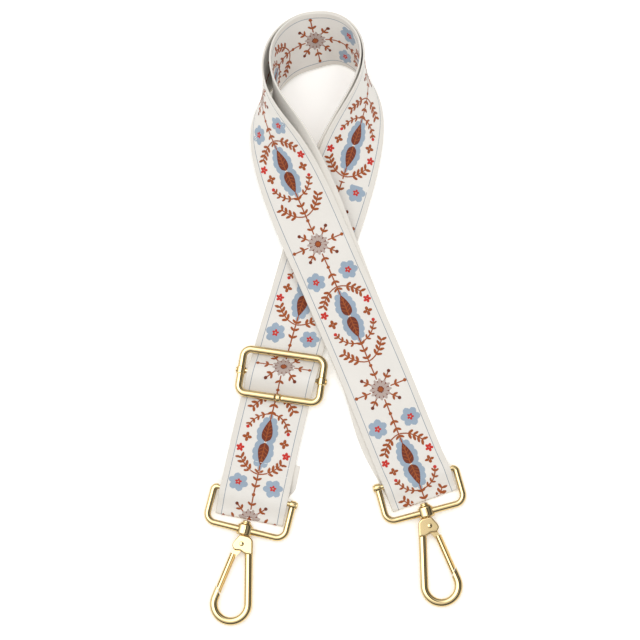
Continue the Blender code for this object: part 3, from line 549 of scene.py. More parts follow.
def loop_ribbon(start):
    """Round the loop, down the upper limb, round the right hook's bar and back inside the loop."""
    fold_start = RIGHT_LIMB_END - FOLD_BEYOND_BAR - FOLD_HUMP_LENGTH / 2
    outer = layer(spaced(SPLIT_PLACE, -fold_start, LOOP_STEP)[:-1], upper_level)
    back = spaced(-RIGHT_LIMB_END + LAYER_PITCH, SPLIT_PLACE, LOOP_STEP)
    inner = layer(back, inner_level, swells(back, PEEKS), -1.0)
    return Ribbon(np.concatenate([outer, end_fold(-1, MIDDLE), inner]), start)


def inner_ribbon(start):
    """The inner layer down the lower limb, over the slider's centre bar, round it and back as a tail."""
    begin = SLIDER_PLACE - SEWN_END_LENGTH
    radius = SEWN_TOP - SLIDER_AXIS
    run = spaced(SPLIT_PLACE, begin, LIMB_STEP)
    lower = layer(run, inner_level, swells(run, PEEKS), -1.0)

    def over(s):
        return MIDDLE + (SEWN_TOP - MIDDLE) * bell(s - SLIDER_PLACE, SEWN_HUMP_LENGTH)

    def under(s):
        return LOW + (SLIDER_AXIS - radius - LOW) * bell(s - SLIDER_PLACE, TAIL_HUMP_LENGTH)

    joined = np.clip((begin - run) / LIMB_STEP, 0, 1)[:, None]
    target = lie(run, MIDDLE, swells(run, PEEKS))[0] + ORIGIN
    lower[:, 0] = lower[:, 0] * joined + target * (1 - joined)
    places = spaced(begin, SLIDER_PLACE, HUMP_STEP)[1:-1]
    leg = layer(places, over, swells(places, PEEKS))
    wrap = half_turn(SLIDER_PLACE, SLIDER_AXIS, radius, 0, 2 * FOLD_STEPS)
    leg[:, 2] *= -1
    wrap[:, 2] *= -1
    tail = layer(spaced(SLIDER_PLACE, begin, HUMP_STEP)[1:], under)
    return Ribbon(np.concatenate([lower, leg, wrap, tail]), start)


def section():
    """The webbing's section, all round: across and height over its middle, as arrays."""
    top = []
    for side in (1, -1):
        places = [(side * BORDER_OUTER, LOW + BORDER_RISE), (side * BORDER_INNER, LOW + BORDER_RISE),
                  (side * (BORDER_INNER - EDGE_ROUND), LOW)]
        level = spaced(BORDER_INNER - 2 * BORDER_STEP, BORDER_STEP, BORDER_STEP)
        places += [(side * v, LOW) for v in level]
        top.append(places if side > 0 else places[::-1])
    upper = top[0] + [(0.0, LOW)] + top[1]
    corner = HALF_WIDTH - EDGE_ROUND
    bends = [pi / 2 + pi * i / EDGE_STEPS for i in range(EDGE_STEPS + 1)]
    left = [(-corner + EDGE_ROUND * cos(a), (LOW + BORDER_RISE) * sin(a)) for a in bends]
    lower = [(v, -h) for v, h in reversed(upper)]
    right = [(-v, h) for v, h in reversed(left)]
    points = np.array(upper + left + lower + right)
    return points[:, 0], points[:, 1]


def new_piece(name, points, faces, materials, slots=None, uv=None, smooth=True, sharp=None):
    mesh = bpy.data.meshes.new(name)
    mesh.from_pydata(np.asarray(points).tolist(), [], faces)
    for material in materials:
        mesh.materials.append(material)
    if slots is not None:
        mesh.polygons.foreach_set("material_index", np.asarray(slots, np.int32))
    if uv is not None:
        corners = np.empty(len(mesh.loops), np.int32)
        mesh.loops.foreach_get("vertex_index", corners)
        cloth = mesh.uv_layers.new(name="cloth")
        cloth.data.foreach_set("uv", np.asarray(uv, np.float32)[corners].ravel())
    if smooth:
        mesh.shade_smooth()
    if sharp is not None:
        mesh.set_sharp_from_angle(angle=sharp)
    piece = bpy.data.objects.new(name, mesh)
    bpy.context.scene.collection.objects.link(piece)
    return piece


def face_outwards(piece):
    shape = bmesh.new()
    shape.from_mesh(piece.data)
    bmesh.ops.recalc_face_normals(shape, faces=shape.faces)
    shape.to_mesh(piece.data)
    shape.free()
    return piece


def loft(rings, closed=False):
    """Points and faces of a tube through rings of equally many points, capped or closed on itself."""
    count, total = len(rings[0]), len(rings)
    faces = []
    for i in range(total if closed else total - 1):
        a, b = i * count, (i + 1) % total * count
        for j in range(count):
            k = (j + 1) % count
            faces.append((a + j, a + k, b + k, b + j))
    if not closed:
        faces += [tuple(reversed(range(count))), tuple(range((total - 1) * count, total * count))]
    return [point for ring in rings for point in ring], faces


def gather(points, faces, shape):
    """Adds a shape to the points and faces of others."""
    faces += [tuple(len(points) + corner for corner in face) for face in shape[1]]
    points += shape[0]


def webbing_piece(name, ribbon, material):
    """One closed mesh of webbing along a ribbon, with its length and width as texture coordinates."""
    across, height = section()
    count = len(ribbon.lengths)
    along = np.repeat(ribbon.lengths, len(across))
    across, height = np.tile(across, count), np.tile(height, count)
    points = ribbon.place(along, across, height)
    faces = loft(points.reshape(count, -1, 3))[1]
    return new_piece(name, points, faces, [material], uv=np.stack([along, across], axis=1),
                     sharp=WEBBING_SHARP)


class Print:
    """Collects flat shapes of print on one face of a ribbon, 1 or -1, between two lengths."""

    def __init__(self, ribbon, face, span):
        self.ribbon, self.face = ribbon, face
        self.first = max(ribbon.start + PRINT_MARGIN, span[0])
        self.last = min(ribbon.end - PRINT_MARGIN, span[1])
        self.points, self.faces, self.colours = [], [], []
        self.count = 0

    def strip(self, colour, sections, level):
        """A strip through pairs of places (length, across), one pair to a section."""
        run = []
        for pair in sections:
            if all(self.first <= length <= self.last for length, _ in pair):
                run.append(pair)
            else:
                self.emit(colour, run, level)
                run = []
        self.emit(colour, run, level)

    def emit(self, colour, run, level):
        if len(run) < 2:
            return
        self.count += 1
        high = LOW + LEVEL_RISE * level + SHAPE_RISE * (self.count % SHAPE_LEVELS)
        low = LOW - PRINT_DEPTH
        shape = loft([[(*a, high), (*b, high), (*b, low), (*a, low)] for a, b in run])
        gather(self.points, self.faces, shape)
        self.colours += [colour] * len(shape[1])

    def stroke(self, path, width=LINE_WIDTH):
        """A drawn line through a few places, narrower at its ends."""
        path = np.asarray(path, float)
        lengths = run_lengths(path)
        steps = spaced(0, lengths[-1], STROKE_STEP) if lengths[-1] > STROKE_STEP else lengths[[0, -1]]
        places = read_at(steps, lengths, path)
        ahead = unit(np.gradient(places, axis=0))
        side = np.stack([-ahead[:, 1], ahead[:, 0]], axis=1)
        share = np.ones(len(steps))
        share[0] = share[-1] = LINE_END_SHARE
        half = side * (width / 2 * share)[:, None]
        self.strip(RUST_INK, list(zip((places - half).tolist(), (places + half).tolist())), LINE_LEVEL)

    def patch(self, colour, outline, level):
        """A filled convex shape, cut into slices so that it bends with the webbing."""
        outline = np.asarray(outline, float)
        following = np.roll(outline, -1, axis=0)
        low, high = outline[:, 0].min(), outline[:, 0].max()
        spare = (high - low) * SLICE_SPARE
        sections = []
        for length in spaced(low + spare, high - spare, min(SLICE_STEP, (high - low) / FEWEST_SLICES)):
            crosses = (outline[:, 0] - length) * (following[:, 0] - length) <= 0
            a, b = outline[crosses], following[crosses]
            span = np.where(np.abs(b[:, 0] - a[:, 0]) < 1e-12, 1e-12, b[:, 0] - a[:, 0])
            hits = a[:, 1] + (b[:, 1] - a[:, 1]) * np.clip((length - a[:, 0]) / span, 0, 1)
            sections.append(((length, hits.min()), (length, hits.max())))
        self.strip(colour, sections, level)

    def build(self, name, materials):
        points = np.array(self.points)
        places = self.ribbon.place(points[:, 0], points[:, 1], self.face * points[:, 2])
        return face_outwards(new_piece(name, places, self.faces, materials, self.colours,
                                       points[:, :2], smooth=False))


def polar(centre, radius, angle):
    return (centre[0] + radius * cos(angle), centre[1] + radius * sin(angle))


def oval(centre, length, width, angle, steps):
    """Outline of an ellipse whose long axis is at an angle from the strap's length."""
    c, s = cos(angle), sin(angle)
    turns = [2 * pi * (i + 0.5) / steps for i in range(steps)]
    local = [(length / 2 * cos(a), width / 2 * sin(a)) for a in turns]
    return [(centre[0] + x * c - y * s, centre[1] + x * s + y * c) for x, y in local]


def dot(art, centre, width, colour, level=DOT_LEVEL):
    art.patch(colour, oval(centre, width, width, 0, 12), level)


def draw_petals(art, centre, count, ring, petal, colour, level=PETAL_LEVEL, turn=0.0, steps=10):
    """Oval petals in a ring about a centre. petal is their length and width."""
    for i in range(count):
        angle = turn + 2 * pi * i / count
        art.patch(colour, oval(polar(centre, ring, angle), *petal, angle, steps), level)


def draw_floret(art, centre, radius, colour, petals):
    petal = (radius, radius * FLORET_WIDTH)
    draw_petals(art, centre, petals, radius * FLORET_RING, petal, colour)


def leaflets(art, path, places, length):
    """Pairs of small leaves that point forward along a path."""
    path = np.asarray(path, float)
    lengths = run_lengths(path)
    step = lengths[-1] * LEAFLET_LOOK
    for share in places:
        here = lengths[-1] * share
        ahead = read_at(here + step, lengths, path) - read_at(here - step, lengths, path)
        for side in (-1, 1):
            angle = atan2(ahead[1], ahead[0]) + side * LEAFLET_SPREAD
            middle = polar(read_at(here, lengths, path), length / 2, angle)
            art.patch(RUST_INK, oval(middle, length, length * LEAFLET_SHARE, angle, 10), LINE_LEVEL)


def draw_rosette(art, centre):
    """A round flower with leafy arms, each with a berry at its end."""
    for i in range(ROSETTE_ARMS):
        angle = i * 2 * pi / ROSETTE_ARMS
        arm = [polar(centre, ARM_START, angle), polar(centre, ARM_REACH[i % 2], angle)]
        art.stroke(arm)
        leaflets(art, arm, ARM_LEAFLET_PLACE, ARM_LEAFLET)
        dot(art, arm[1], BERRY, BROWN_INK if i % 2 else RUST_INK)
    dot(art, centre, ROSETTE_DISC, BROWN_INK, DISC_LEVEL)
    draw_petals(art, centre, ROSETTE_PETALS, ROSETTE_RING, ROSETTE_PETAL, TAUPE_INK,
                turn=pi / ROSETTE_PETALS)
    dot(art, centre, ROSETTE_HEART, RUST_INK)


def draw_flower(art, centre, turn):
    """A small blue flower with a red heart."""
    draw_petals(art, centre, FLOWER_PETALS, FLOWER_RING, FLOWER_PETAL, BLUE_INK, GROUND_LEVEL, turn, 12)
    draw_floret(art, centre, FLOWER_HEART / 2, RED_INK, 5)
    dot(art, centre, FLOWER_HEART / 4, TAUPE_INK)


def draw_twig(art, star, side, places, leaves):
    """A leafy twig from its first place to its last, drawn towards the middle one. Returns its end."""
    a, b, c = (np.array((star + along, side * across)) for along, across in places)
    shares = np.linspace(0, 1, TWIG_STEPS)[:, None]
    path = (1 - shares) ** 2 * a + 2 * shares * (1 - shares) * b + shares ** 2 * c
    art.stroke(path)
    leaflets(art, path, *leaves)
    return c


def leaf_half_width(share):
    """Half the width of a leaf at a share of its length from the base: blunt base, pointed tip."""
    first, second = LEAF_POWERS
    return LEAF_WIDTH / 2 * sin(pi * share ** first) ** second if 0 < share < 1 else 0.0


def draw_leaf(art, base, direction):
    """A dark pointed leaf on a pale blue ground of lobes. direction is 1 or -1 along the strap."""
    def at(share):
        return base + direction * LEAF_LENGTH * share

    for i in range(LOBES):
        share = (i + 0.5) / LOBES
        reach = leaf_half_width(share) + LOBE_BEYOND
        for side in (-1, 1):
            middle = (at(LOBE_SPAN[0] + LOBE_SPAN[1] * share), side * reach)
            art.patch(BLUE_INK, oval(middle, *LOBE, direction * side * LOBE_TILT, 12), GROUND_LEVEL)
    tip = base + direction * (LEAF_LENGTH + TIP_BEYOND)
    art.patch(BLUE_INK, oval((tip, 0), *TIP_GROUND, 0, 12), GROUND_LEVEL)
    shares = [i / LEAF_STEPS for i in range(LEAF_STEPS + 1)]
    right = [(at(share), leaf_half_width(share)) for share in shares]
    left = [(t, -w) for t, w in reversed(right[1:-1])]
    art.patch(BROWN_INK, right + left, PETAL_LEVEL)
    art.stroke([(base, 0), (at(RIB_SHARE), 0)], RIB_WIDTH)
    for share in VEINS:
        reach = leaf_half_width(share + VEIN_WIDEST) * VEIN_REACH
        for side in (-1, 1):
            art.stroke([(at(share), 0), (at(share + VEIN_LEAN), side * reach)], VEIN_WIDTH)


def draw_repeat(art, t):
    """One repeat of the ornament, the same on both sides of the strap's middle."""
    draw_rosette(art, (t, 0.0))
    middle = t + PERIOD / 2
    for way in (-1, 1):
        star = middle - way * PERIOD / 2
        stem = [(star + way * place, 0) for place in STEM]
        art.stroke(stem, STEM_WIDTH)
        leaflets(art, stem, STEM_LEAFLETS, STEM_LEAFLET)
        draw_leaf(art, middle - way * LEAF_GAP, -way)
        for side in (-1, 1):
            if way > 0:
                place = (star + FLOWER_PLACE[0], side * FLOWER_PLACE[1])
                draw_flower(art, place, side * FLOWER_TURN)
                draw_twig(art, star, side, SPRIG_AFTER, SPRIG_LEAVES)
            else:
                draw_twig(art, star, side, SPRIG_BEFORE, SPRIG_LEAVES)
                dot(art, draw_twig(art, star, side, TWIG_BEFORE, TWIG_LEAVES), BERRY, RED_INK)
    for side in (-1, 1):
        for along, across, radius, colour, petals in FLORETS:
            draw_floret(art, (middle + along, side * across), radius, colour, petals)


def draw_edges(art):
    """The thin line along each border, over every station so that it bends with the folds."""
    inside = art.ribbon.lengths
    places = inside[(inside > art.first) & (inside < art.last)]
    half = EDGE_LINE_WIDTH / 2
    for side in (-1, 1):
        middle = side * EDGE_LINE_PLACE
        art.strip(EDGE_INK, [((t, middle - half), (t, middle + half)) for t in places], DISC_LEVEL)


def print_ribbon(name, ribbon, materials, face=1.0, span=None):
    art = Print(ribbon, face, span or (ribbon.start, ribbon.end))
    draw_edges(art)
    first = floor((art.first - PRINT_PHASE) / PERIOD) - 1
    last = ceil((art.last - PRINT_PHASE) / PERIOD) + 1
    for i in range(first, last):
        draw_repeat(art, PRINT_PHASE + i * PERIOD)
    return art.build(name, materials)


def stitch(ribbon, length, middle):
    """A short thread lying across the webbing, its ends drawn down into the cloth."""
    turns = -2 * pi * np.arange(STITCH_SIDES) / STITCH_SIDES
    rings = []
    for share in STITCH_SHARES:
        dip = abs(share) ** 4
        radius = STITCH_RADIUS * (STITCH_END_SHARE + (1 - STITCH_END_SHARE) * (1 - dip))
        height = LOW + STITCH_RADIUS * (STITCH_RISE - STITCH_DIP * dip)
        across = np.full(STITCH_SIDES, middle + share * STITCH_LENGTH / 2)
        rings.append(ribbon.place(length + radius * np.cos(turns), across,
                                  height + radius * np.sin(turns)).tolist())
    return loft(rings)


def sew_tab(ribbon, material):
    """Two rows of stitches across the tab, through its tail, seen from above and from below."""
    points, faces = [], []
    top_start = LEFT_LIMB_END - TAIL_LENGTH - HUMP_END
    for row in STITCH_ROWS:
        for length in (ribbon.start + row, ribbon.end - (top_start + row)):
            for i in range(int(2 * STITCH_EDGE / STITCH_PITCH)):
                middle = -STITCH_EDGE + (i + 0.5) * STITCH_PITCH
                gather(points, faces, stitch(ribbon, length, middle))
    return new_piece("tab_stitches", points, faces, [material], uv=[point[:2] for point in points])


class Nodes:
    """Short ways to add and join nodes."""

    def __init__(self, tree):
        self.tree = tree
        self.shader = tree.nodes.get("Principled BSDF")

    def add(self, kind, **settings):
        node = self.tree.nodes.new(kind)
        for key, value in settings.items():
            setattr(node, key, value)
        return node

    def feed(self, node, values):
        """Sets a node's inputs: numbers and colours on the socket itself, anything else is joined to it."""
        for key, value in values.items():
            if isinstance(value, (int, float, tuple, Vector)):
                node.inputs[key].default_value = value
            else:
                self.tree.links.new(value, node.inputs[key])
        return node

    def math(self, operation, *values):
        node = self.add("ShaderNodeMath", operation=operation)
        return self.feed(node, dict(enumerate(values))).outputs[0]

    def mix(self, share, first, second, blend="MIX"):
        node = self.add("ShaderNodeMix", data_type="RGBA", blend_type=blend)
        first, second = ((*c, 1) if isinstance(c, tuple) else c for c in (first, second))
        return self.feed(node, {0: share, 6: first, 7: second}).outputs[2]

    def blend(self, share, first, second):
        node = self.add("ShaderNodeMix")
        return self.feed(node, {0: share, 2: first, 3: second}).outputs[0]

    def noise(self, vector, scale, detail=2.0, roughness=0.5):
        values = {"Vector": vector, "Scale": scale, "Detail": detail, "Roughness": roughness}
        return self.feed(self.add("ShaderNodeTexNoise"), values).outputs[0]

    def bump(self, height, strength, distance):
        values = {"Height": height, "Strength": strength, "Distance": distance}
        bump = self.feed(self.add("ShaderNodeBump"), values)
        self.feed(self.shader, {"Normal": bump.outputs[0]})


def start_material(name):
    material = bpy.data.materials.new(name)
    material.use_nodes = True
    return material, Nodes(material.node_tree)


def cloth_material(name, colour, border=None, spots=0.05, sheen=0.25):
    """Woven cloth: a plain weave of round yarns, a little uneven in colour, with a soft sheen."""
    material, n = start_material(name)
    uv = n.add("ShaderNodeUVMap", uv_map="cloth").outputs[0]
    parts = n.feed(n.add("ShaderNodeSeparateXYZ"), {0: uv})
    along, across = parts.outputs[0], parts.outputs[1]
    rib = n.math("SINE", n.math("MULTIPLY", along, 2 * pi / RIB_PITCH))
    yarn = n.math("SINE", n.math("MULTIPLY", across, 2 * pi / YARN_PITCH))
    weave = n.math("MULTIPLY", rib, yarn)
    fuzz = n.noise(uv, FUZZ_SCALE, 3)
    rough = n.math("ADD", n.math("MULTIPLY", weave, WEAVE_SHARE), n.math("MULTIPLY", fuzz, FUZZ_SHARE))
    n.bump(rough, *WEAVE_BUMP)
    tint = colour
    if border:
        edge = n.math("SUBTRACT", n.math("ABSOLUTE", across), EDGE_LINE_PLACE)
        share = n.feed(n.add("ShaderNodeClamp"), {0: n.math("MULTIPLY", edge, 1 / BORDER_FADE)})
        tint = n.mix(share.outputs[0], colour, border)
    cloud = n.noise(uv, CLOUD_SCALE, 3)
    shade = n.math("ADD", n.math("MULTIPLY", n.math("SUBTRACT", cloud, 0.5), CLOUD_TINT * spots),
                   n.math("MULTIPLY", n.math("SUBTRACT", fuzz, 0.5), FUZZ_TINT * spots))
    shade = n.math("ADD", shade, n.math("MULTIPLY", weave, WEAVE_TINT * spots))
    shade = n.math("ADD", shade, 1.0)
    grey = n.feed(n.add("ShaderNodeCombineColor"), {0: shade, 1: shade, 2: shade})
    n.feed(n.shader, {"Base Color": n.mix(1.0, tint, grey.outputs[0], "MULTIPLY"), "Roughness": 0.88,
                      "Specular IOR Level": 0.25, "Sheen Weight": sheen, "Sheen Roughness": 0.5})
    return material


def metal_material(name, colour, rim, roughness, wear=1.0):
    """Polished plating with fine scratches and faint patches of handling. rim is its colour at a glance."""
    material, n = start_material(name)
    place = n.add("ShaderNodeTexCoord").outputs["Object"]
    stretch = n.feed(n.add("ShaderNodeMapping"), {"Vector": place, "Scale": SCRATCH_STRETCH})
    strength, distance = SCRATCH_BUMP
    n.bump(n.noise(stretch.outputs[0], SCRATCH_SCALE, 2, 0.6), strength * wear, distance)
    patches = n.noise(place, PATCH_SCALE, 3)
    spread = PATCH_ROUGHNESS * wear
    rough = n.math("ADD", n.math("MULTIPLY", patches, spread), roughness - spread / 2)
    dull = tuple(c * DULL_LIGHT for c in colour)
    n.feed(n.shader, {"Base Color": n.mix(n.math("MULTIPLY", patches, DULL_SHARE), colour, dull),
                      "Roughness": rough, "Metallic": 1.0, "Specular Tint": (*rim, 1)})
    return material


# Each stretch of webbing: its name, its node, the bar it rests on, and its ribbon
STRETCHES = (("webbing_tab", "webbing_hook_tab", "left_cross_bar", tab_ribbon),
             ("webbing_over_slider", "webbing_run", "slider_bar", upper_ribbon),
             ("webbing_round_loop", "webbing_loop", "right_cross_bar", loop_ribbon),
             ("webbing_sewn_to_slider", "webbing_sewn_end", "slider_bar", inner_ribbon))


def make_webbing():
    """All the visible cloth: four stretches of one webbing, with their print and sewing."""
    cloth = cloth_material("woven_webbing", CLOTH, CLOTH_BORDER)
    inks = [cloth_material(name, colour, spots=0.14, sheen=0.15) for name, colour in INKS]
    thread = cloth_material("white_thread", THREAD, spots=0.04)
    stretch_start = lie(SPLIT_PLACE, MIDDLE)[0][0] + ORIGIN
    stretch_end = lie(STRETCH_END, MIDDLE)[0][0] + ORIGIN
    cut = 0.0
    for name, node, bar, lay in STRETCHES:
        ribbon = lay(cut)
        cut = ribbon.end
        cloth_piece = webbing_piece(name, ribbon, cloth)
        printed = [print_ribbon(f"{name}_print", ribbon, inks)]
        if name == "webbing_tab":
            # Of the tab's back, only the single layer between the slider and the sewn tail is seen
            span = (cut - (LEFT_LIMB_END - TAIL_LENGTH - HUMP_END), cut)
            printed.append(print_ribbon(f"{name}_back_print", ribbon, inks, -1.0, span))
            printed.append(sew_tab(ribbon, thread))
        if name == "webbing_round_loop":
            # Of the outer layer's back, the stretch is seen where the inner layer stands off it
            _, middle, reach = SPREADS[0]
            span = [ribbon.start + SPLIT_PLACE - middle + way * reach for way in (-1, 1)]
            printed.append(print_ribbon(f"{name}_gap_print", ribbon, inks, -1.0, span))
        for piece in [cloth_piece, *printed]:
            if bar == "slider_bar":
                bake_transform(piece)
            else:
                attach(piece, "strap")
        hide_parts(node)


def circle(radius, sides=FINE_SIDES, across=1.0):
    step = 2 * pi / sides
    return [(radius * across * cos((i + 0.5) * step), radius * sin((i + 0.5) * step))
            for i in range(sides)]


def wire_rings(path, section_points, closed=False, swell=None):
    """Rings of a wire bent in the XY plane along path. swell gives each ring's share of the section."""
    rings = []
    total = len(path)
    for i, place in enumerate(path):
        before = path[(i - 1) % total] if closed or i > 0 else place
        after = path[(i + 1) % total] if closed or i < total - 1 else place
        ahead = (Vector(after) - Vector(before)).normalized()
        side = Vector((ahead.y, -ahead.x, 0))
        share = swell(place) if swell else 1.0
        rings.append([Vector(place) + side * (u * share) + Vector((0, 0, v * share))
                      for u, v in section_points])
    return rings


def slanted_wire(path, section_points, side):
    """A wire that ends at a slant, so that the gate can leave the nose inwards."""
    rings = wire_rings(path, section_points)
    end = Vector(path[-1])
    ahead = (end - Vector(path[-2])).normalized()
    for i, place in enumerate(path):
        share = 1 - (end - Vector(place)).length / SLANT_LENGTH
        if share > 0:
            rings[i] = [p - ahead * (side * u * share) for p, (u, _) in zip(rings[i], section_points)]
    return loft(rings)


def arc(centre, radius, start, end, steps=FINE_ARC):
    angles = [start + (end - start) * i / steps for i in range(steps + 1)]
    return [(centre[0] + radius * cos(a), centre[1] + radius * sin(a), 0) for a in angles]


def join_runs(runs, step, closed=False):
    """A path through runs of places, with straight runs between them."""
    path = []
    for i, run in enumerate(runs):
        path += run
        if closed or i < len(runs) - 1:
            start, end = Vector(run[-1]), Vector(runs[(i + 1) % len(runs)][0])
            count = max(2, round((end - start).length / step))
            path += [tuple(start.lerp(end, j / count)) for j in range(1, count)]
    return path


def sided(places, side):
    """Places with their x on the side asked for, 1 or -1."""
    return [(side * place[0], *place[1:]) for place in places]


def rod(radii, places, axis, flat=1.0):
    """A turned piece: a radius at each place along axis 'X', 'Y' or 'Z'."""
    order = {"X": (2, 0, 1), "Y": (0, 2, 1), "Z": (0, 1, 2)}[axis]
    return loft([[Vector([(u, v * flat, place)[k] for k in order]) for u, v in circle(radius)]
                 for radius, place in zip(radii, places)])


def riveted(radius, crown, end, edge, foot):
    """Radii and places of a domed head, from its end at -end to its foot."""
    first, second, share = crown
    radii = [radius * first, radius * second, radius, radius]
    return radii, [-end, -end + edge * share, -end + edge, -foot]


def both_ends(radii, places, total=0.0):
    """A turned profile and its mirror image. total is the sum of a place and its image."""
    return radii + radii[::-1], places + [total - place for place in reversed(places)]


def rounded_rod(radius, low, high, edge, axis, flat=1.0, steps=5):
    """A turned piece whose two rims are rounded off."""
    angles = [pi / 2 * i / steps for i in range(steps + 1)]
    radii = [radius - edge * (1 - sin(a)) for a in angles]
    places = [low + edge * (1 - cos(a)) for a in angles]
    return rod(*both_ends(radii, places, low + high), axis, flat)


def prism(outline, thickness, edge=0.0, steps=4):
    """A plate in the XY plane. With edge, its rims are rounded off."""
    half = thickness / 2
    if not edge:
        return loft([[Vector((x, y, z)) for x, y in outline] for z in (-half, half)])
    points = np.array(outline)
    ahead = unit(np.roll(points, -1, axis=0) - np.roll(points, 1, axis=0))
    area = np.sum(points[:, 0] * np.roll(points[:, 1], -1) - points[:, 1] * np.roll(points[:, 0], -1))
    inward = np.stack([-ahead[:, 1], ahead[:, 0]], axis=1) * copysign(1, area)
    rings = []
    for i in range(steps + 1):
        angle = pi / 2 * i / steps
        place = points + inward * (edge * (1 - sin(angle)))
        rings.append([Vector((x, y, -half + edge * (1 - cos(angle)))) for x, y in place])
    rings += [[Vector((p.x, p.y, -p.z)) for p in ring] for ring in reversed(rings)]
    return loft(rings)


def rounded_outline(corners, radius, steps=6):
    """An outline whose corners are rounded off by a quadratic bend."""
    points = []
    total = len(corners)
    for i, corner in enumerate(corners):
        here = Vector(corner)
        before, after = Vector(corners[i - 1]), Vector(corners[(i + 1) % total])
        first = here + (before - here).normalized() * min(radius, (before - here).length * 0.45)
        last = here + (after - here).normalized() * min(radius, (after - here).length * 0.45)
        for j in range(steps + 1):
            t = j / steps
            points.append(tuple((1 - t) ** 2 * first + 2 * t * (1 - t) * here + t * t * last))
    return points


def moved(shape, offset):
    return [Vector(point) + Vector(offset) for point in shape[0]], shape[1]


def bored(radius, low, high, axis, place=(0, 0, 0)):
    """A carving step that drills a round bore along an axis."""
    return "DIFFERENCE", moved(rod((radius, radius), (low, high), axis), place)


def solid(name, shape, material):
    points = [tuple(point) for point in shape[0]]
    return face_outwards(new_piece(name, points, shape[1], [material], sharp=METAL_SHARP))


def carve(piece, steps, material):
    """Joins shapes to a piece or cuts them away, one after the other."""
    tools = []
    for operation, shape in steps:
        tool = solid("tool", shape, material)
        tools.append(tool)
        modifier = piece.modifiers.new("carve", "BOOLEAN")
        modifier.operation = operation
        modifier.object = tool
    graph = bpy.context.evaluated_depsgraph_get()
    carved = bpy.data.meshes.new_from_object(piece.evaluated_get(graph))
    piece.modifiers.clear()
    old, name = piece.data, piece.name
    piece.data = carved
    bpy.data.meshes.remove(old)
    carved.name = name
    for tool in tools:
        bpy.data.objects.remove(tool)
    carved.shade_smooth()
    carved.set_sharp_from_angle(angle=METAL_SHARP)
    for face in carved.polygons:
        if face.area > FLAT_AREA:
            for corner in face.loop_indices:
                carved.edges[carved.loops[corner].edge_index].use_edge_sharp = True


class Fitting:
    """Makes metal pieces in their own axes, and puts them where their nodes are, on the nodes' body."""

    def __init__(self, matrix, body, material):
        self.matrix, self.body, self.material = matrix, body, material

    def make(self, name, shape, node, steps=()):
        piece = solid(name, shape, self.material)
        if steps:
            carve(piece, steps, self.material)
        piece.data.transform(self.matrix)
        if self.matrix.determinant() < 0:
            piece.data.flip_normals()
        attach(piece, self.body)
        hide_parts(node)


def flat_frame(place, x_axis):
    """Axes of a piece that lies flat: its x axis, z up, at a place."""
    x = Vector((x_axis[0], x_axis[1], 0)).normalized()
    y = Vector((-x.y, x.x, 0))
    return Matrix.Translation(place) @ Matrix((x, y, Vector((0, 0, 1)))).transposed().to_4x4()


def make_slider(material):
    """The bent wire frame, swollen where the bar goes through it and at its seam, and the centre bar."""
    ahead = lie(SLIDER_PLACE, SLIDER_AXIS)[1][0]
    back = atan2(-ahead[1], -ahead[0]) - pi / 2 + SLIDER_TURN
    slider = Fitting(flat_frame(SLIDER_MIDDLE, (cos(back), sin(back))), "slider", material)
    half_x = (SLIDER_WIDTH - SLIDER_BAND) / 2
    half_y = (SLIDER_HEIGHT - SLIDER_BAND) / 2
    bend = SLIDER_CORNER - SLIDER_BAND / 2
    corners = []
    for x, y, start in ((1, 1, 0.0), (-1, 1, 0.5), (-1, -1, 1.0), (1, -1, 1.5)):
        centre = (x * (half_x - bend), y * (half_y - bend))
        corners.append(arc(centre, bend, start * pi, (start + 0.5) * pi))
    path = join_runs(corners, SLIDER_STEP, True)
    radius = SLIDER_WIRE / 2

    def swell(place):
        aside, beside = abs(place[0]), abs(place[1])
        if beside < half_y / 2:
            return 1 + BAND_SWELL / radius * float(plateau(beside, 0, BAND_LENGTH / 2, 1, BAND_FALL))
        if place[1] < 0 and aside < SEAM_LENGTH:
            rise = SEAM_SWELL * float(plateau(aside, 0, SEAM_BEAD, 1, SEAM_BEAD / 3))
            return 1 + (rise - SEAM_GROOVE * float(bell(aside - SEAM_GROOVE_PLACE, SEAM_BEAD))) / radius
        return 1.0

    section_points = circle(radius, across=SLIDER_BAND / SLIDER_WIRE)
    rings = wire_rings(path, section_points, True, swell)
    slider.make("slider_wire_frame", loft(rings, True), "slider_frame")
    inside = half_x - SLIDER_BAND / 2 - GAP
    outside = half_x + SLIDER_BAND / 2 + GAP / 3
    end = outside + SLIDER_HEAD_THICKNESS + GAP / 2
    bar, head, tenon = SLIDER_BAR / 2, SLIDER_HEAD / 2, SLIDER_TENON / 2
    edge = SLIDER_HEAD_THICKNESS / 2
    radii, places = riveted(head, SLIDER_CROWN, end, edge, outside + edge * SLIDER_HEAD_ROUND)
    radii += [head * SLIDER_HEAD_FOOT, tenon, tenon, bar * SLIDER_BAR_SHOULDER, bar]
    places += [-outside, -outside, -inside, -inside, -inside + edge]
    slider.make("slider_centre_bar", rod(*both_ends(radii, places), "X"), "slider_bar")


